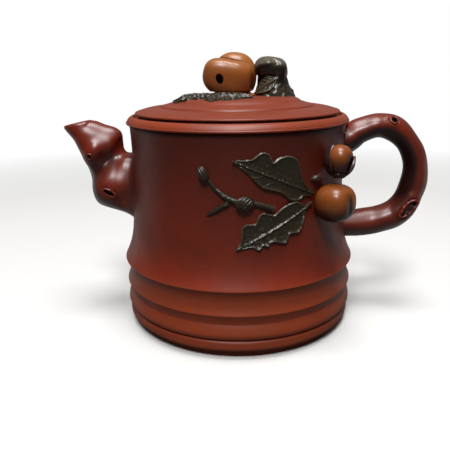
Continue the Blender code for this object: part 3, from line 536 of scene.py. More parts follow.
def spout_shade(spots, facings):
    """Painted shade darkens the crease, the join with the wall, and what lies below the lower edge."""
    below = np.interp(spots[:, 0], *zip(*LOWER_ARRIS)) - spots[:, 2]
    shades = (
        fade(distance_to(CREASE, spots[:, (0, 2)]), *CREASE_SHADE),
        fade(spots[:, 0], *ROOT_SHADE),
        fade(below, *UNDER_SHADE),
    )
    return np.maximum.reduce(shades)


# Painted shade in the crease, at the join with the wall and under the lower edge.
paint(spout, "shade_and_stain", spout_shade)
finish_piece(spout, red_clay, "pot", "spout")


# Spout knots: a collar of red clay pushed up round a hollow with a wooden point, where a shoot was cut away.
# The upper one is round, the lower one is drawn out into a slit.

# A knot is its name, about where it sits, its radius, how much longer than wide it is, its turn in degrees,
# and how torn it is, from 0 for a clean hole to 1 for a shallow scar. Other sizes are shares of its radius.
SPOUT_KNOTS = (
    ("spout_knot_upper", (-65.0, -9.0, 75.5), 1.05, 1.15, 20, 0),
    ("spout_knot_lower", (-56.6, -12.0, 60.0), 1.3, 2.3, 62, 0.2),
)
KNOT_HOLLOW, KNOT_DEPTH, TORN_LESS = 0.8, 1.6, 0.9
KNOT_FLOOR, KNOT_FLOOR_RISE, KNOT_FLOOR_ARC = 0.35, 0.05, (0.10, 6)
KNOT_COLLAR = (
    (0.75, -0.1, -0.10, 5), (1.0, 0.16, -0.08, 5), (1.35, -0.10, 0.06, 5), (1.7, -1.0, 0, 0), (1.7, -1.6),
    (0, -2.2),
)
KNOT_LUMPS, KNOT_UNEVEN, TORN_UNEVEN = 2.2, 0.2, 0.12
HOLLOW_SHADE_FADE, SCAR_LIGHT_FADE = (0.12, -0.28), (0.25, -0.3056)
PRESSED_WIDTH, PRESSED_DEPTH, UNSTRETCHED = 1.5, 2.2, 0.1


def push_knots(piece, knots):
    """Sets knots on a piece, square to its surface, and presses the surface in under their hollows."""
    bpy.context.view_layer.update()
    for node, about, radius, stretch, turned_by, torn in knots:
        _, centre, facing, _ = piece.closest_point_on_mesh(Vector(about) * MM)
        square = facing.to_track_quat("Z", "Y").to_matrix()
        square @= Matrix.Rotation(math.radians(turned_by), 3, "Z")
        deep = TORN_LESS * torn - KNOT_DEPTH
        outline = bowed(((0, deep), (KNOT_FLOOR, deep + KNOT_FLOOR_RISE, *KNOT_FLOOR_ARC), *KNOT_COLLAR))
        knot = turn(node + "_collar", [(r * radius, z * radius) for r, z in outline], steps=56, edge=0.05)

        def shade_in_hollow(spots):
            inside = np.hypot(spots[:, 0], spots[:, 1]) < KNOT_HOLLOW * radius
            return fade(spots[:, 2] / radius, *HOLLOW_SHADE_FADE) * inside

        def lit_side_of_scar(spots):
            return fade(spots[:, 0] / radius, *SCAR_LIGHT_FADE, torn)

        # Painted shade darkens the hollow; in a torn scar, painted light pales one side of it instead.
        paint(knot, "shade_and_stain", lambda spots, facings: (1 - lit_side_of_scar(spots)) * shade_in_hollow(spots))
        paint(knot, "lit_and_worn", lambda spots, facings: lit_side_of_scar(spots) * shade_in_hollow(spots))
        spots, _ = points_of(knot)
        off_middle = np.hypot(spots[:, 0], spots[:, 1]) > UNSTRETCHED
        half_longer = (stretch - 1) * radius
        spots[:, 1] += half_longer * np.sin(np.arctan2(spots[:, 1], spots[:, 0])) * off_middle
        set_points(knot, spots)
        knot.data.transform(Matrix.Translation(centre) @ square.to_4x4())
        knead(knot, size=KNOT_LUMPS - torn, depth=(KNOT_UNEVEN + TORN_UNEVEN * torn) * radius)
        finish_piece(knot, red_clay, "pot", node)
        length = square @ Vector((0, half_longer, 0))
        path = [centre / MM - length, centre / MM + length]
        sculpt(piece, (path, PRESSED_WIDTH * radius, -PRESSED_DEPTH * radius))


push_knots(spout, SPOUT_KNOTS)


# Handle: a branch of red clay, rolled solid and bent into a loop, thicker where it joins the wall.
# Both ends are luted on with slip, and use has rubbed its back to a gloss.
# A station is x, z, half thickness in the loop and half width across it.
HANDLE_STATIONS = (
    (43.5, 78.6, 7.4, 7.2),
    (47.5, 80.3, 6.4, 6.6),
    (50.5, 81.8, 5.8, 6.0),
    (54.5, 84.5, 5.4, 5.7),
    (62.5, 86.8, 5.2, 5.5),
    (70.0, 85.0, 5.4, 5.6),
    (76.0, 79.0, 4.9, 5.4),
    (79.8, 71.0, 5.1, 5.4),
    (80.2, 62.0, 5.7, 5.7),
    (78.0, 53.5, 6.0, 6.0),
    (73.5, 47.2, 6.4, 6.3),
    (66.0, 43.7, 6.2, 6.2),
    (57.0, 42.2, 6.1, 6.2),
    (50.0, 41.8, 6.3, 6.6),
    (46.5, 41.7, 6.8, 7.2),
    (43.0, 41.6, 8.0, 8.2),
)
HANDLE_SIDES = 64
HANDLE_FLATTENED = 0.035
HANDLE_STROKES = (
    ([(67.5, -4.0, 89.3)], 5.0, 0.7),
    ([(61.0, -5.2, 88.0)], 5.5, 0.45),
    ([(66.5, -5.2, 46.8)], 6.0, 0.6),
    ([(73.0, -5.0, 48.6), (78.5, -5.0, 54.5)], 4.2, 0.9),
    ([(76.0, -5.5, 45.9), (81.5, -4.5, 52.5)], 3.6, 0.8),
)
LOOP_MIDDLE, INWARD_SHARES, UNDER_SHARE = np.array((60.0, 64.0)), (1.0, 0.35), 0.75
HANDLE_SHADE = (-0.2, 0.4133, 0.92)
handle_line = curve_through(HANDLE_STATIONS, STEPS_PER_STATION)


def roll_length(name, sides, centres, ring):
    """A length of clay rolled round a line of centres: ring gives the way from centre i to the surface, for
    the way that the line runs there and an angle round it. Its ends are closed."""
    last = len(centres) - 1

    def place(column, row):
        i = min(max(row - 1, 0), last)
        if row in (0, last + 2):
            return centres[i]
        way = (centres[min(i + 1, last)] - centres[max(i - 1, 0)]).normalized()
        return centres[i] + ring(i, way, math.tau * column / sides)

    return roll_sheet(name, sides, last + 2, place)


def handle_ring(i, way, a):
    """The branch is a little flattened on its flanks, as if cut with a bamboo knife."""
    _, _, thick, wide = handle_line[i]
    flat = 1 + HANDLE_FLATTENED * math.cos(4 * a)
    return flat * Vector((-way.z * thick * math.cos(a), wide * math.sin(a), way.x * thick * math.cos(a)))


handle_centres = [Vector((x, 0, z)) for x, z, _, _ in handle_line]
handle = roll_length("handle_clay", HANDLE_SIDES, handle_centres, handle_ring)
sculpt(handle, *HANDLE_STROKES)
knead(handle, size=9, depth=0.35)


def handle_shade(spots, facings):
    """Painted shade darkens the inside of the loop and its underside."""
    inwards = LOOP_MIDDLE - spots[:, (0, 2)]
    inwards *= INWARD_SHARES / np.linalg.norm(inwards, axis=1)[:, None]
    shade = (inwards * facings[:, (0, 2)]).sum(axis=1) - UNDER_SHARE * facings[:, 2]
    return fade(shade, *HANDLE_SHADE)


# Painted shade inside the loop and underneath.
paint(handle, "shade_and_stain", handle_shade)
finish_piece(handle, red_clay, "pot", "handle")


# Handle knots: a round collar on the bend at the top, and a split low down where the bark curls back
# from a torn shoot. Both are pushed up from the branch's own red clay.
HANDLE_KNOTS = (
    ("handle_knot_top", (68.2, -5.4, 90.0), 1.5, 1.15, 30, 0),
    ("handle_knot_low", (77.0, -8.0, 50.2), 1.9, 2.6, -44, 0.9),
)
push_knots(handle, HANDLE_KNOTS)


# Leaves on the wall: two holly-like leaves of dark clay, cut thin, veined with a needle and pressed on
# while wet. Their lobes curl off the wall, and the raised ribs and rims are a paler grey bronze, partly wear
# and partly painted highlight.

# A leaf is laid out on the unrolled wall, millimetres round from the front and height. Its edges are
# shares of its length from the base with millimetres out from the midrib, and so are its veins' two ends.
UNROLLED_RADIUS = 47.5
UPPER_LEAF = {
    "base": (31.2, 65.2),
    "tip": (-1.9, 79.6),
    "left": (
        (0, 0.8), (0.11, 1.5), (0.24, 4.2), (0.29, 6.7), (0.38, 9.4), (0.48, 9.2), (0.56, 7.2), (0.60, 4.9),
        (0.645, 6.0), (0.70, 7.3), (0.76, 6.6), (0.81, 3.6), (0.88, 1.9), (1, 0.2),
    ),
    "right": (
        (0, 0.8), (0.12, 2.2), (0.17, 4.2), (0.27, 5.0), (0.36, 4.1), (0.43, 3.8), (0.59, 4.5), (0.66, 3.9),
        (0.71, 3.3), (0.79, 1.9), (0.90, 0.9), (1, 0.2),
    ),
    "veins": (
        (0.16, 0.36, 1), (0.36, 0.53, 1), (0.56, 0.72, 1), (0.10, 0.22, -1), (0.46, 0.60, -1),
        (0.62, 0.74, -1),
    ),
}
LOWER_LEAF = {
    "base": (30.6, 61.6),
    "tip": (-0.8, 45.9),
    "left": (
        (0, 0.7), (0.10, 0.9), (0.17, 4.2), (0.25, 5.3), (0.32, 5.6), (0.39, 5.3), (0.47, 4.9), (0.56, 7.7),
        (0.62, 7.1), (0.68, 5.4), (0.76, 6.6), (0.82, 6.4), (0.86, 3.6), (0.92, 1.2), (1, 0.2),
    ),
    "right": (
        (0, 0.7), (0.10, 0.8), (0.21, 4.0), (0.30, 6.1), (0.41, 4.7), (0.49, 6.7), (0.59, 4.1), (0.64, 3.5),
        (0.68, 4.2), (0.72, 3.1), (0.78, 3.7), (0.83, 1.8), (0.92, 0.9), (1, 0.2),
    ),
    "veins": (
        (0.14, 0.30, 1), (0.34, 0.55, 1), (0.55, 0.77, 1), (0.16, 0.30, -1), (0.34, 0.49, -1),
        (0.56, 0.68, -1), (0.66, 0.78, -1),
    ),
}
LEAF_ROWS, LEAF_COLUMNS = 150, 60
LEAF_EDGE_STEPS, LEAF_BROAD, LEAF_BEHIND = 6, 4, -5
MIDRIB_HEIGHT, MIDRIB_WIDTH, MIDRIB_SWELL = 0.5, 0.32, 0.18
LEAF_RIM_HEIGHT, LEAF_RIM_WIDTH, LEAF_CUP = 0.25, 0.4, 0.25
VEIN_HEIGHT, VEIN_WIDTH, VEIN_FALL = 0.22, 0.35, 0.3
WRINKLE_SIZE, WRINKLE_FALL = 1.6, 0.6


def on_wall(across, height, lift):
    """A point that stands off the wall, from its place on the unrolled wall."""
    angle = across / UNROLLED_RADIUS
    radius = float(np.interp(height, wall_heights, wall_radii)) + lift
    return (radius * math.sin(angle), -radius * math.cos(angle), height)


def ridge(distance, width):
    """Height of a rounded rib, 1 in its middle."""
    return math.exp(-((distance / width) ** 2))


def face_outwards(sheet, middle):
    """Turns a sheet's faces away from a point behind it."""
    face = sheet.data.polygons[len(sheet.data.polygons) // 2]
    if face.normal.dot(face.center - Vector(middle) * MM) < 0:
        sheet.data.flip_normals()


def cut_leaf(name, leaf, lay, thickness, curl, crumple=0.14, rise=0):
    """A leaf with its midrib, veins, cupped lobes and a rim that curls up. One whose left edge rises,
    or its right one where the rise is negative, has clay packed under it."""
    base, tip = Vector(leaf["base"]), Vector(leaf["tip"])
    length = (tip - base).length
    out_way = Vector((tip.y - base.y, base.x - tip.x)) / length
    edges = {
        side: tuple(zip(*curve_through(leaf[key], LEAF_EDGE_STEPS)))
        for side, key in ((1, "left"), (-1, "right"))
    }

    def place(column, row):
        along = row / LEAF_ROWS
        across = 2 * column / LEAF_COLUMNS - 1
        side = 1 if across > 0 else -1
        across_side = abs(across)
        reach = float(np.interp(along, *edges[side]))
        out = across_side * reach
        spot = base.lerp(tip, along) + out_way * out * side
        broad = min(1.0, reach / LEAF_BROAD)
        lift = thickness + MIDRIB_HEIGHT * ridge(out, MIDRIB_WIDTH + MIDRIB_SWELL * (1 - along))
        rim = LEAF_RIM_HEIGHT * ridge((1 - across_side) * reach, LEAF_RIM_WIDTH)
        lift += broad * (curl * across_side**3 + rim)
        lift -= LEAF_CUP * broad * math.sin(math.pi * across_side)
        for start, end, vein_side in leaf["veins"]:
            if vein_side == side:
                off = (along - start - (end - start) * across_side) * length
                lift += VEIN_HEIGHT * ridge(off, VEIN_WIDTH) * min(1.0, out) * (1 - VEIN_FALL * across_side)
        wrinkle = 0.5 - 2 * abs(noise.noise((spot.x / WRINKLE_SIZE, spot.y / WRINKLE_SIZE, 0)))
        lift += crumple * wrinkle * (1 - WRINKLE_FALL * across_side**3)
        climb = 0.5 + math.copysign(0.5, rise) * across
        lift += abs(rise) * climb**2 * (3 - 2 * climb) * broad
        return lay(spot.x, spot.y, lift)

    piece = roll_sheet(name, LEAF_COLUMNS, LEAF_ROWS, place)
    middle = base.lerp(tip, 0.5)
    face_outwards(piece, lay(middle.x, middle.y, LEAF_BEHIND))
    apply_modifier(piece, "SOLIDIFY", thickness=(thickness + abs(rise)) * MM, offset=-1)
    return piece


# Burnished dark stoneware: almost black, with a low gloss and a paler bronze on every ridge, partly wear and
# partly painted highlight.
dark_clay = fired_clay(
    "burnished_dark_stoneware", "dark_clay", "#17130b", "#2a2315", "#756b55", "#0c0a06",
    roughness=0.36, shine=0.45, coat=0.25, edge_wear_and_sheen=0.55,
)
for node, leaf in (("leaf_upper", UPPER_LEAF), ("leaf_lower", LOWER_LEAF)):
    blade = cut_leaf(node + "_blade", leaf, on_wall, thickness=0.7, curl=0.5, crumple=0.27)
    finish_piece(blade, dark_clay, "pot", node)


# Twig: rolled threads of dark clay laid on the wall in three lengths, with a ribbed bud at the fork
# and another at the end. A point is millimetres round the wall, height and radius.
TWIGS = {
    "twig_stem": ((13.4, 61.3, 1.3), (11.6, 62.0, 1.15), (9.2, 62.9, 1.0), (5.6, 63.8, 0.9)),
    "twig_branch": (
        (-0.6, 64.6, 1.15), (-2.8, 65.4, 1.1), (-4.8, 66.6, 0.95), (-7.0, 68.2, 0.8), (-8.8, 69.8, 0.75),
        (-10.8, 72.4, 0.7),
    ),
    "twig_shoot": (
        (-3.4, 64.2, 1.05), (-5.4, 62.9, 0.95), (-8.0, 61.3, 0.85), (-10.4, 59.8, 0.65), (-11.9, 58.9, 0.3),
    ),
}
TWIG_SIDES, TWIG_STEPS = 20, 8
TWIG_SUNK = 0.65
BARK_RIDGES, BARK_RIDGE_HEIGHT, BARK_TWIST = 3, 0.02, 0.2
BARK_LUMPS, BARK_LUMP_HEIGHT = 0.6, 0.08


def roll_twig(name, points):
    line = curve_through(points, TWIG_STEPS)
    centres = [Vector(on_wall(across, height, TWIG_SUNK * radius)) for across, height, radius in line]

    def ring(i, way, a):
        out = Vector((centres[i].x, centres[i].y, 0)).normalized()
        cross = way.cross(out).normalized()
        bark = 1 + BARK_RIDGE_HEIGHT * math.sin(BARK_RIDGES * a + BARK_TWIST * i)
        bark += BARK_LUMP_HEIGHT * noise.noise((BARK_LUMPS * i, math.cos(a), math.sin(a)))
        return (cross.cross(way) * math.cos(a) + cross * math.sin(a)) * line[i][2] * bark

    return roll_length(name, TWIG_SIDES, centres, ring)


for node, points in TWIGS.items():
    finish_piece(roll_twig(node + "_thread", points), dark_clay, "pot", node)

# A bud is its place on the unrolled wall, the lean of its length from upright, its halves across, along and
# out of the wall, how many fibres wrap it and how far they twist round it.
BUDS = {
    "bud_middle": (2.6, 64.1, 101, (2.6, 3.6, 2.3), 9, 0.7),
    "bud_tip": (-12.6, 75.0, 28, (1.85, 3.0, 1.9), 7, 0.2),
}
BUD_CORE, BUD_RIB, BUD_RIB_POWER = 0.80, 0.22, 0.6
BUD_SUNK = 0.75


def facing_wall(across, height):
    """Turns +Z out of the wall and +Y up it."""
    out = Vector(on_wall(across, height, 1)) - Vector(on_wall(across, height, 0))
    return Matrix((Vector((0, 0, 1)).cross(out), (0, 0, 1), out)).transposed().to_4x4()


for node, (across, height, lean, halves, fibres, twist) in BUDS.items():
    bud = start_piece(node + "_ball", "uv_sphere", segments=96, ring_count=48, radius=1)
    for vertex in bud.data.vertices:
        x, y, z = vertex.co
        around = math.atan2(y, x) + twist * math.tau * z / 4
        swell = BUD_CORE + BUD_RIB * abs(math.cos(fibres * around / 2)) ** BUD_RIB_POWER
        vertex.co = (x * swell * halves[0] * MM, y * swell * halves[2] * MM, z * halves[1] * MM)
    stand = Matrix.Rotation(math.radians(lean), 4, "Z") @ Matrix.Rotation(math.radians(-90), 4, "X")
    place = Matrix.Translation(Vector(on_wall(across, height, BUD_SUNK * halves[2])) * MM)
    bud.data.transform(place @ facing_wall(across, height) @ stand)
    finish_piece(bud, dark_clay, "pot", node)


# Nuts on the wall: balls of ochre clay rolled round, cleft with a knife and burnished until they
# shine. The lower one is squat and bare. Painted shade darkens their clefts and their lower parts. The upper
# one sits in its husk.

# A nut is its place on the unrolled wall and how far its middle stands off it, its halves across, up and out,
# how squared it is, where its cleft runs and half its width in degrees, and the height and fade of its base.
# Round a nut, 180 degrees is its left side, 270 the side away from the wall, and 0 its right side.
NUTS = {
    "nut_lower": ((38.3, 60.9, 5.8), (7.8, 7.5, 7.5), 2.5, (264, 12), (-1.3, 0.9)),
    "nut_upper": ((39.9, 77.4, 6.0), (5.2, 6.1, 5.2), 2.2, (272, 20), (0.6, 1.1)),
}
CLEFT_TOP, CLEFT_FOOT = (0.65, 0.35), (-0.6, -0.3)
CLEFT_DEPTH, BASE_DEPTH, NUT_SHADE = 0.05, 0.02, 0.95
# Burnished ochre stoneware: a golden brown with a close gloss, clouded darker like a real shell.
ochre_clay = fired_clay(
    "burnished_ochre_stoneware", "ochre_clay", "#4a1f0c", "#944d1d", "#c0803f", "#200c06",
    roughness=0.32, shine=0.45, coat=0.25, edge_wear_and_sheen=0.0,
)


def roll_ball(name, place, cuts=47):
    """A ball of clay pressed into shape: place takes the points of a ball of radius 1 to where they go."""
    piece = start_piece(name, "cube", size=2 * MM)
    bpy.ops.object.mode_set(mode="EDIT")
    bpy.ops.mesh.subdivide(number_cuts=cuts)
    bpy.ops.object.mode_set(mode="OBJECT")
    ways = points_of(piece)[0]
    return close_mesh(set_points(piece, place(ways / np.linalg.norm(ways, axis=1)[:, None])))


def squared_ball(ways, halves, power):
    """The points of a ball with squared shoulders that lie given ways from its middle."""
    sizes = (np.abs(ways / halves) ** power).sum(axis=1) ** (-1 / power)
    return ways * sizes[:, None]


def roll_nut(name, spot, halves, power, cleft, base_fade):
    """A nut with a cleft down one side, and painted shade in the cleft and below a height, where it fades in.
    """
    turned = np.array(facing_wall(*spot[:2]).to_3x3())

    def shape(ways):
        x, y, z = ways.T
        flank = np.sqrt(np.clip(1 - y**2, 0, 1))
        off_cleft = (np.degrees(np.arctan2(-z, x)) - cleft[0] + 180) % 360 - 180
        groove = np.exp(-((off_cleft * flank / cleft[1]) ** 2)) * fade(y, *CLEFT_TOP) * fade(y, *CLEFT_FOOT)
        base = 1 / (1 + np.exp((y * halves[1] - base_fade[0]) / base_fade[1]))
        drawn_in = 1 - BASE_DEPTH * base - CLEFT_DEPTH * groove
        return squared_ball(ways, halves, power) * drawn_in[:, None], groove, base

    def shaded_and_stained(spots, facings):
        ways = (spots - on_wall(*spot)) @ turned
        _, groove, base = shape(ways / np.linalg.norm(ways, axis=1)[:, None])
        return np.clip(NUT_SHADE * (groove + base), 0, 1)

    ball = roll_ball(name, lambda ways: shape(ways)[0] @ turned.T + on_wall(*spot))
    # Painted shade in the cleft and on the lower part of the nut.
    paint(ball, "shade_and_stain", shaded_and_stained)
    return ball


for node, nut in NUTS.items():
    finish_piece(roll_nut(node + "_ball", *nut), ochre_clay, "pot", node)


# Husk: three curled scales of purple-brown clay wrapped round the upper nut, and a stub of stalk beside it.
# Each is cut thin, pressed on while wet and burnished.
# A scale is its spans round and up the nut in degrees, and how far its rim curls out.
HUSK_SCALES = {
    "husk_left": ((92, 180), (-76, 62), 0.3),
    "husk_right": ((258, 346), (-80, 14), 0.2),
    "husk_front": ((140, 274), (-78, -40), 0.0),
}
HUSK_GAP, HUSK_THICKNESS, HUSK_EDGE = 0.15, 0.6, 0.22
HUSK_ROWS, HUSK_COLUMNS = 56, 40
HUSK_FOOT, HUSK_LENGTH, HUSK_FULL = 0.16, 0.80, 0.7
HUSK_UNEVEN, HUSK_LUMPS_ACROSS, HUSK_LUMPS_ALONG = 0.15, 1.5, 3
HUSK_KEEL, HUSK_KEEL_WIDTH = 0.1, 0.35
HUSK_SIDE_POWER, HUSK_TIP_POWER = 5, 8
HUSK_SHADE = (77.4, 74.4, 0.9)
HUSK_STALK = ((30.4, 70.6, 0.4), (31.6, 70.8, 1.2), (33.2, 71.0, 1.5), (35.4, 71.0, 1.4))
husk_spot, husk_halves = NUTS["nut_upper"][:2]
# Burnished purple stoneware: a dark plum brown with a low gloss and a dusty pink at its rims, partly wear and
# partly painted highlight.
purple_clay = fired_clay(
    "burnished_purple_stoneware", "purple_clay", "#1a0d0b", "#38211c", "#86645b", "#0d0706",
    roughness=0.36, shine=0.45, coat=0.20, edge_wear_and_sheen=0.5,
)


def wrap_scale(name, around, up, curl):
    on_nut = Matrix.Translation(Vector(on_wall(*husk_spot))) @ facing_wall(*husk_spot[:2])
    middle, half = sum(around) / 2, (around[1] - around[0]) / 2

    def place(column, row):
        along = row / HUSK_ROWS
        across = 2 * column / HUSK_COLUMNS - 1
        v = math.radians(up[0] + (up[1] - up[0]) * along)
        width = math.sin(math.pi * (HUSK_FOOT + HUSK_LENGTH * along)) ** HUSK_FULL
        u = math.radians(middle + half * width * across)
        rim = max(abs(across) ** HUSK_SIDE_POWER, along**HUSK_TIP_POWER)
        off = HUSK_GAP + HUSK_THICKNESS + curl * rim
        off += HUSK_UNEVEN * noise.noise((HUSK_LUMPS_ACROSS * across, HUSK_LUMPS_ALONG * along, middle))
        off += HUSK_KEEL * ridge(across, HUSK_KEEL_WIDTH)
        wide, tall, deep = (size + off for size in husk_halves)
        out = math.cos(v)
        return on_nut @ Vector((wide * out * math.cos(u), tall * math.sin(v), -deep * out * math.sin(u)))

    scale = roll_sheet(name, HUSK_COLUMNS, HUSK_ROWS, place)
    face_outwards(scale, on_wall(*husk_spot))
    apply_modifier(scale, "SOLIDIFY", thickness=HUSK_THICKNESS * MM, offset=-1)
    apply_modifier(
        scale, "BEVEL", width=HUSK_EDGE * MM, segments=3, limit_method="ANGLE", angle_limit=SMOOTH_ANGLE
    )
    return scale


for node, (around, up, curl) in HUSK_SCALES.items():
    scale = wrap_scale(node + "_scale", around, up, curl)
    # Painted shade darkens the lower part of each scale.
    paint(scale, "shade_and_stain", by_height(*HUSK_SHADE))
    finish_piece(scale, purple_clay, "pot", node)
stalk = roll_twig("husk_stalk_stub", HUSK_STALK)
finish_piece(stalk, purple_clay, "pot", "husk_stalk")


# Lid flange: a plain ring of red clay under the lid, which drops into the mouth and keeps the lid in place.
# It is trimmed to fit the mouth and luted to the plate.
FLANGE_OUTLINE = ((36.8, 91.3), (36.8, 82.3), (39.2, 82.3), (40.0, 83.1), (40.0, 91.3))
flange = turn("lid_flange_ring", FLANGE_OUTLINE)
finish_piece(flange, turned_red_clay, "lid_seat", "lid_flange")


# Lid plate: a disc of red clay turned to a gently domed apron and a low mound, with a fine quirk cut
# between them. Its edge is undercut, so that a dark line parts it from the rim. An air vent goes up through
# it into the knob.
LID_UNDER = ((0, 96.8), (20.0, 96.0), (33.2, 91.9), (36.8, 91.6))
LID_EDGE = ((43.2, 91.6), (43.2, 93.5), (44.6, 93.6), (44.6, 94.0, 0.12, 6))
LID_TOP = (
    (44.0, 94.4, 0.45, 24), (34.2, 96.2), (33.9, 96.1, -0.3, 4), (33.3, 96.2, 0, 0), (33.2, 96.5),
    (32.9, 96.8, -0.1, 10), (28.0, 98.2, 0.3, 10), (24.0, 100.0, 0.1, 12), (0, 100.6),
)
VENT, VENT_RADIUS, VENT_ENDS = (-4.2, -0.6), 1.2, (90, 106)
UNDERCUT_TOP, UNDERCUT_SHADE, LID_STAIN = 93.65, 0.9, 0.14


def lid_shade_and_stain(spots, facings):
    """Painted shade fills the undercut below the lid's edge, and the rest of the plate is a little darker."""
    return np.where(spots[:, 2] < UNDERCUT_TOP, UNDERCUT_SHADE, LID_STAIN)


lid_plate = turn("lid_plate_clay", LID_UNDER + LID_EDGE + LID_TOP, edge=0.12)
drill(lid_plate, *((*VENT, height) for height in VENT_ENDS), VENT_RADIUS, sides=24)
# Painted light pales what faces up on the plate.
paint(lid_plate, "lit_and_worn", lit_top)
# Painted shade in the undercut.
paint(lid_plate, "shade_and_stain", lid_shade_and_stain)
finish_piece(lid_plate, turned_red_clay, "lid", "lid_plate")
lid_radii, lid_heights = zip(*sorted(bowed(LID_TOP)))


# Knob pad: the slip of ochre clay that beds the knob's nut on the lid, squeezed out a little round it.
# It is wiped with a wet brush, so it stays uneven.
PAD_MIDDLE = (-1.9, -0.9)
PAD_HALVES = (10.4, 7.7)
PAD_LOW, PAD_SIDES = 100.6, 96
PAD_OUTLINE = (
    (0.4, 100.6), (1.06, 100.6), (1.06, 100.8, -0.25, 8), (0.93, 102.9, 0, 0), (0.90, 102.9), (0.4, 102.9),
)
pad = turn("lid_nut_pad_slip", PAD_OUTLINE, PAD_SIDES, edge=0.02)
pad_place = Matrix.Translation(Vector((*PAD_MIDDLE, 0)) * MM)
pad.data.transform(pad_place @ Matrix.Diagonal((*PAD_HALVES, 1, 1)))
knead(pad, size=2.5, depth=0.35)
finish_piece(pad, ochre_clay, "lid", "lid_nut_pad")


# Knob nut: ochre clay shaped like a walnut that opens along its seam, the front half slipped down and left
# of the back half, burnished to a soft gloss. The worm hole in its side is the lid's air vent.
# A half is its middle, its halves, how squared it is and its tilt in degrees.
KNOB_MIDDLE = (-3.4, -0.4, 108.4)
FRONT_HALF = ((-4.2, -2.0, 107.4), (10.6, 6.9, 8.2), 3.2, 11)
BACK_HALF = ((-1.0, 1.9, 108.5), (9.6, 6.9, 10.0), 2.2, 0)
KNOB_FOOT, KNOB_REACH = 102.5, 30.0
KNOB_LOW, KNOB_LEFT = (109.4, KNOB_FOOT), (-5, -13)
KNOB_DRAWN_IN, KNOB_DRAWN_POWER = 2.4, 1.5
REACH_HALVINGS = 32
SEAM_DEPTH, SEAM_WIDTH, SEAM_SHADE = 0.8, 0.45, 0.85
SEAM_LEFT, SEAM_RIGHT = -1.0, 5.0
WORM_HOLE_MOUTH, WORM_HOLE_RADIUS = (-8.0, -11.0, 109.8), 1.6
WORM_HOLE_SKIN, WORM_HOLE_MARGIN = 0.5, 0.1
KNOB_LOW_SHADE, KNOB_TOP_LIGHT = (107.5, 102.5, 0.4), (108, 117, 0.4)


def reach_of_half(ways, half):
    """How far half a nut reaches each way from the knob's middle."""
    middle, halves, power, tilt = half
    turn_back = np.array(Matrix.Rotation(math.radians(tilt), 3, "Y").inverted())
    start = (turn_back @ np.subtract(KNOB_MIDDLE, middle)) / halves
    steps = (ways @ turn_back.T) / halves
    low, high = np.zeros(len(ways)), np.full(len(ways), KNOB_REACH)
    for _ in range(REACH_HALVINGS):
        tried = (low + high) / 2
        inside = (np.abs(start + steps * tried[:, None]) ** power).sum(axis=1) < 1
        low, high = np.where(inside, tried, low), np.where(inside, high, tried)
    return low


def knob_shape(ways):
    """How far the knob reaches each way, and how deep in its seam that is, from 0 to 1."""
    front, back = reach_of_half(ways, FRONT_HALF), reach_of_half(ways, BACK_HALF)
    outside = np.maximum(front, back)
    across = KNOB_MIDDLE[0] + ways[:, 0] * outside
    open_here = fade(across, SEAM_RIGHT, SEAM_LEFT)
    in_seam = np.exp(-(((front - back) / SEAM_WIDTH) ** 2)) * open_here
    melted = np.logaddexp(front, back) - outside
    return outside + melted * (1 - open_here) - SEAM_DEPTH * in_seam, in_seam


def on_knob(ways):
    """The knob has a flat foot, and draws in towards it on the left."""
    spots = KNOB_MIDDLE + ways * knob_shape(ways)[0][:, None]
    spots[:, 2] = np.maximum(spots[:, 2], KNOB_FOOT)
    drawn = KNOB_DRAWN_IN * fade(spots[:, 2], *KNOB_LOW) ** KNOB_DRAWN_POWER
    spots[:, 0] += drawn * fade(spots[:, 0], *KNOB_LEFT)
    return spots


def knob_shade(spots, facings):
    """Painted shade darkens the seam, the lower part towards the foot, and the worm hole well below the
    knob's own surface.
    """
    reach = np.linalg.norm(spots - KNOB_MIDDLE, axis=1)
    outside, in_seam = knob_shape((spots - KNOB_MIDDLE) / reach[:, None])
    axis = np.subtract((*VENT, PAD_LOW), WORM_HOLE_MOUTH)
    from_mouth = spots - WORM_HOLE_MOUTH
    off_axis = np.linalg.norm(np.cross(from_mouth, axis), axis=1) / np.linalg.norm(axis)
    in_hole = (off_axis < WORM_HOLE_RADIUS + WORM_HOLE_MARGIN) & (reach < outside - WORM_HOLE_SKIN)
    return np.where(in_hole, 1.0, np.maximum(SEAM_SHADE * in_seam, fade(spots[:, 2], *KNOB_LOW_SHADE)))


knob = knead(roll_ball("lid_nut_ball", on_knob, cuts=63), size=6, depth=0.25)
drill(knob, WORM_HOLE_MOUTH, (*VENT, PAD_LOW), WORM_HOLE_RADIUS, sides=40, rings=24)
# Painted shade in the seam, the worm hole and low down.
paint(knob, "shade_and_stain", knob_shade)
# Painted light pales the knob towards its top.
paint(knob, "lit_and_worn", by_height(*KNOB_TOP_LIGHT))
finish_piece(knob, ochre_clay, "lid", "lid_nut")


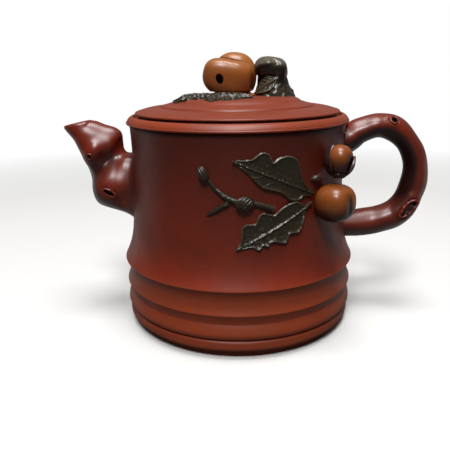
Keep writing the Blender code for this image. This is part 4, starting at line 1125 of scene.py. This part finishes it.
# Mushroom: a dark clay cap folded over a flared, pitted stem, modelled freely beside the nut,
# with a small veined leaf pressed across the stem's front.
MUSHROOM_FOOT, MUSHROOM_LEAN = (16.8, 0.6, 91.3), -4
STEM_SIDE = (
    (10.0, 95.3), (9.6, 98.5), (8.7, 100.8), (7.5, 103.1), (6.6, 105.6), (6.2, 108.0), (6.2, 110.5),
)
STEM_STEPS = 8
STEM_SHADE, CAP_SHADE, CAP_TOP_LIGHT = (103, 106.8, 0.95), (0.3125, -0.28125, 0.95), (0, 1, 0.55)
CAP_MIDDLE, CAP_HALVES, CAP_SQUARED = (14.9, 0.6, 111.3), (7.3, 6.9, 5.1), 2.4
CAP_UNDER, CAP_HANG, CAP_TILT = 0.85, 0.25, 0.08
CAP_STROKES = (
    ([(8.2, -4.5, 112.6), (11.5, -6.2, 113.6), (15.5, -6.0, 114.6)], 2.2, 0.7),
    ([(15.5, -5.5, 116.0), (16.8, -6.8, 113.0), (17.2, -6.5, 110.5)], 2.6, -0.9),
    ([(19.5, -4.5, 112.5)], 4.0, 0.6),
)
to_foot = Matrix.Translation(Vector(MUSHROOM_FOOT) * MM)
lean = Matrix.Rotation(math.radians(MUSHROOM_LEAN), 4, "Y")
mushroom_place = to_foot @ lean @ Matrix.Translation((0, 0, -MUSHROOM_FOOT[2] * MM))
stem_outline = [(0, STEM_SIDE[0][1]), *curve_through(STEM_SIDE, STEM_STEPS), (0, STEM_SIDE[-1][1])]
stem = turn("mushroom_stem_clay", stem_outline, steps=128)
stem.data.transform(mushroom_place)
knead(stem, size=4.0, depth=0.5)
knead(stem, size=1.4, depth=0.35)
# Painted shade darkens the stem under the cap.
paint(stem, "shade_and_stain", by_height(*STEM_SHADE))
finish_piece(stem, dark_clay, "lid", "mushroom_stem")


def on_cap(ways):
    """The cap is flat above and squared at its rim, and hangs lower on its right, where it meets the
    stem."""
    spots = squared_ball(ways, CAP_HALVES, CAP_SQUARED)
    hang = CAP_UNDER + CAP_HANG * np.clip(ways[:, 0], 0, 1)
    spots[:, 2] *= np.where(spots[:, 2] < 0, hang, 1)
    spots[:, 2] -= CAP_TILT * spots[:, 0]
    return spots + CAP_MIDDLE


cap = roll_ball("mushroom_cap_clay", on_cap)
sculpt(cap, *CAP_STROKES)
knead(cap, size=5, depth=0.5)
# Painted shade on the cap's underside.
paint(cap, "shade_and_stain", by_slope(*CAP_SHADE))
# Painted light pales the top of the cap.
paint(cap, "lit_and_worn", by_slope(*CAP_TOP_LIGHT))
finish_piece(cap, dark_clay, "lid", "mushroom_cap")


def paired_veins(run, *starts):
    """Veins that leave the midrib in pairs, each for a run along the leaf."""
    return tuple((start, start + run, side) for side in (1, -1) for start in starts)


STEM_RADIUS, STEM_LEAF_RUBBED = 6.2, 0.3
STEM_LEAF = {
    "base": (0.6, 107.4),
    "tip": (-8.3, 101.9),
    "left": (
        (0, 0.8), (0.12, 1.8), (0.25, 2.6), (0.40, 2.8), (0.55, 2.5), (0.75, 1.7), (0.9, 0.8), (1, 0.2),
    ),
    "right": (
        (0, 0.8), (0.12, 1.6), (0.25, 2.3), (0.40, 2.6), (0.55, 2.3), (0.75, 1.5), (0.9, 0.7), (1, 0.2),
    ),
    "veins": paired_veins(0.2, 0.06, 0.24, 0.42, 0.60),
}


def on_stem(across, height, lift):
    """A point that stands off the mushroom's stem, from millimetres round its front and height."""
    radius = float(np.interp(height, [z for _, z in STEM_SIDE], [r for r, _ in STEM_SIDE])) + lift
    angle = across / STEM_RADIUS
    spot = Vector((radius * math.sin(angle), -radius * math.cos(angle), height)) * MM
    return (mushroom_place @ spot) / MM


stem_leaf = cut_leaf("mushroom_leaf_blade", STEM_LEAF, on_stem, thickness=0.6, curl=0.2)
paint(stem_leaf, "lit_and_worn", lambda spots, facings: np.full(len(spots), STEM_LEAF_RUBBED))
finish_piece(stem_leaf, dark_clay, "lid", "mushroom_leaf")


# Lid leaves: two crumpled leaves of dark clay pressed over the mound's shoulder, which rise against the
# knob. They are laid out on the lid by x and y.
LID_LEAF_SHADE = (2 / 3, 0.25, 1)
LID_LEAVES = {
    "lid_leaf_left": {
        "base": (-13.0, -14.6),
        "tip": (-27.0, -9.4),
        "left": ((0, 5.4), (0.15, 6.4), (0.30, 5.4), (0.50, 5.2), (0.70, 3.2), (1, 0.3)),
        "right": ((0, 3.6), (0.15, 4.6), (0.30, 3.2), (0.50, 4.6), (0.60, 3.6), (0.75, 2.8), (1, 0.3)),
        "veins": paired_veins(0.18, 0.05, 0.3, 0.55),
        "rise": 0.9,
    },
    "lid_leaf_front": {
        "base": (-12.2, -16.6),
        "tip": (6.6, -17.6),
        "left": (
            (0, 4.6), (0.12, 7.2), (0.24, 7.6), (0.32, 6.4), (0.47, 7.7), (0.62, 6.2), (0.8, 2.8), (1, 0.3),
        ),
        "right": ((0, 6.4), (0.15, 8.4), (0.30, 7.6), (0.45, 7.8), (0.65, 5.4), (1, 0.3)),
        "veins": paired_veins(0.18, 0.05, 0.25, 0.45, 0.65),
        "rise": -0.9,
    },
}


def on_lid(x, y, lift):
    return (x, y, float(np.interp(math.hypot(x, y), lid_radii, lid_heights)) + lift)


for node, leaf in LID_LEAVES.items():
    rise = leaf["rise"]
    blade = cut_leaf(node + "_blade", leaf, on_lid, thickness=0.5, curl=0.1, crumple=0.5, rise=rise)
    # Painted shade darkens the faces that do not face up.
    paint(blade, "shade_and_stain", by_slope(*LID_LEAF_SHADE))
    finish_piece(blade, dark_clay, "lid", node)


# Studio: a pale paper floor that fades into a white room, a soft box overhead, and a smaller lamp in front,
# which throws the shadows. Reflections find the white room behind the pot, and a dim one in front of it.
FLOOR_SIZE, FLOOR_CUTS, FLOOR_ROUGHNESS = 8.0, 7, 0.9
FLOOR_COLOUR, FLOOR_BOUNCE = "#f2f1ef", "#5c5956"
SHADOW_REACH, WHITE_REACH = 0.30, 0.55
LAMPS = {
    "overhead_soft_box": ((0.03, -0.12, 1.10), 0.45, 8.5),
    "front_lamp": ((-0.07, -0.79, 1.09), 0.36, 11.0),
}
LAMP_AIM = Vector((0, 0, 60 * MM))
DIM_ROOM = 0.05
WHITE_ROOM, WHITE_FLOOR = 0.2, 0.35
ROOM_BEHIND, FLOOR_BEHIND = (-0.1, 0.7), (-0.04, 0.04)


def white_share(tree, forward, behind, most):
    """How white the room is for a ray: all white where the eye or a see-through piece meets it, and in
    reflections at most so white, and only behind the pot. The point or direction is judged by its Y."""
    rays = add_node(tree, "ShaderNodeLightPath").outputs
    depth = add_node(tree, "ShaderNodeSeparateXYZ", {}, {0: forward}).outputs["Y"]
    settings = {1: behind[0], 2: behind[1], 3: 0.0, 4: most}
    back = add_node(tree, "ShaderNodeMapRange", settings, {0: depth}).outputs[0]
    links = {0: rays["Is Glossy Ray"], 1: back}
    shine = add_node(tree, "ShaderNodeMath", {"operation": "MULTIPLY"}, links).outputs[0]
    links = {0: rays["Is Camera Ray"], 1: rays["Is Transmission Ray"]}
    clear = add_node(tree, "ShaderNodeMath", {"operation": "MAXIMUM"}, links).outputs[0]
    return add_node(tree, "ShaderNodeMath", {"operation": "MAXIMUM"}, {0: shine, 1: clear}).outputs[0]


floor = start_piece("studio_floor", "plane", size=FLOOR_SIZE)
bpy.ops.object.mode_set(mode="EDIT")
bpy.ops.mesh.subdivide(number_cuts=FLOOR_CUTS)
bpy.ops.object.mode_set(mode="OBJECT")
paper = bpy.data.materials.new("white_paper_floor")
paper.use_nodes = True
tree = paper.node_tree
paper_shader = tree.nodes["Principled BSDF"]
paper_shader.inputs["Roughness"].default_value = FLOOR_ROUGHNESS
spot = add_node(tree, "ShaderNodeTexCoord").outputs["Object"]
seen = white_share(tree, spot, FLOOR_BEHIND, WHITE_FLOOR)
settings = {"data_type": "RGBA", 6: linear(FLOOR_BOUNCE), 7: linear(FLOOR_COLOUR)}
shown = add_node(tree, "ShaderNodeMix", settings, {0: seen})
tree.links.new(shown.outputs[2], paper_shader.inputs["Base Color"])
away = add_node(tree, "ShaderNodeVectorMath", {"operation": "LENGTH"}, {0: spot}).outputs["Value"]
settings = {1: SHADOW_REACH, 2: WHITE_REACH, 3: 0.0, 4: 1.0}
far = add_node(tree, "ShaderNodeMapRange", settings, {0: away}).outputs[0]
far_white = add_node(tree, "ShaderNodeMath", {"operation": "MULTIPLY"}, {0: seen, 1: far}).outputs[0]
white = add_node(tree, "ShaderNodeEmission", {"Color": linear("#ffffff"), "Strength": 1.0})
links = {0: far_white, 1: paper_shader.outputs[0], 2: white.outputs[0]}
mixed = add_node(tree, "ShaderNodeMixShader", {}, links)
tree.links.new(mixed.outputs[0], tree.nodes["Material Output"].inputs["Surface"])
floor.data.materials.append(paper)

for name, (place, size, power) in LAMPS.items():
    aim = (LAMP_AIM - Vector(place)).to_track_quat("-Z", "Y").to_euler()
    bpy.ops.object.light_add(type="AREA", location=place, rotation=aim)
    lamp = bpy.context.object
    lamp.name = name
    lamp.data.size = size
    lamp.data.energy = power

world = bpy.data.worlds.new("white_room")
bpy.context.scene.world = world
world.use_nodes = True
tree = world.node_tree
room = tree.nodes["Background"]
direction = add_node(tree, "ShaderNodeTexCoord").outputs["Generated"]
seen = white_share(tree, direction, ROOM_BEHIND, WHITE_ROOM)
strength = add_node(tree, "ShaderNodeMix", {"data_type": "FLOAT", 2: DIM_ROOM, 3: 1.0}, {0: seen})
tree.links.new(strength.outputs[0], room.inputs["Strength"])
room.inputs["Color"].default_value = linear("#ffffff")
bpy.context.scene.view_settings.view_transform = "Standard"
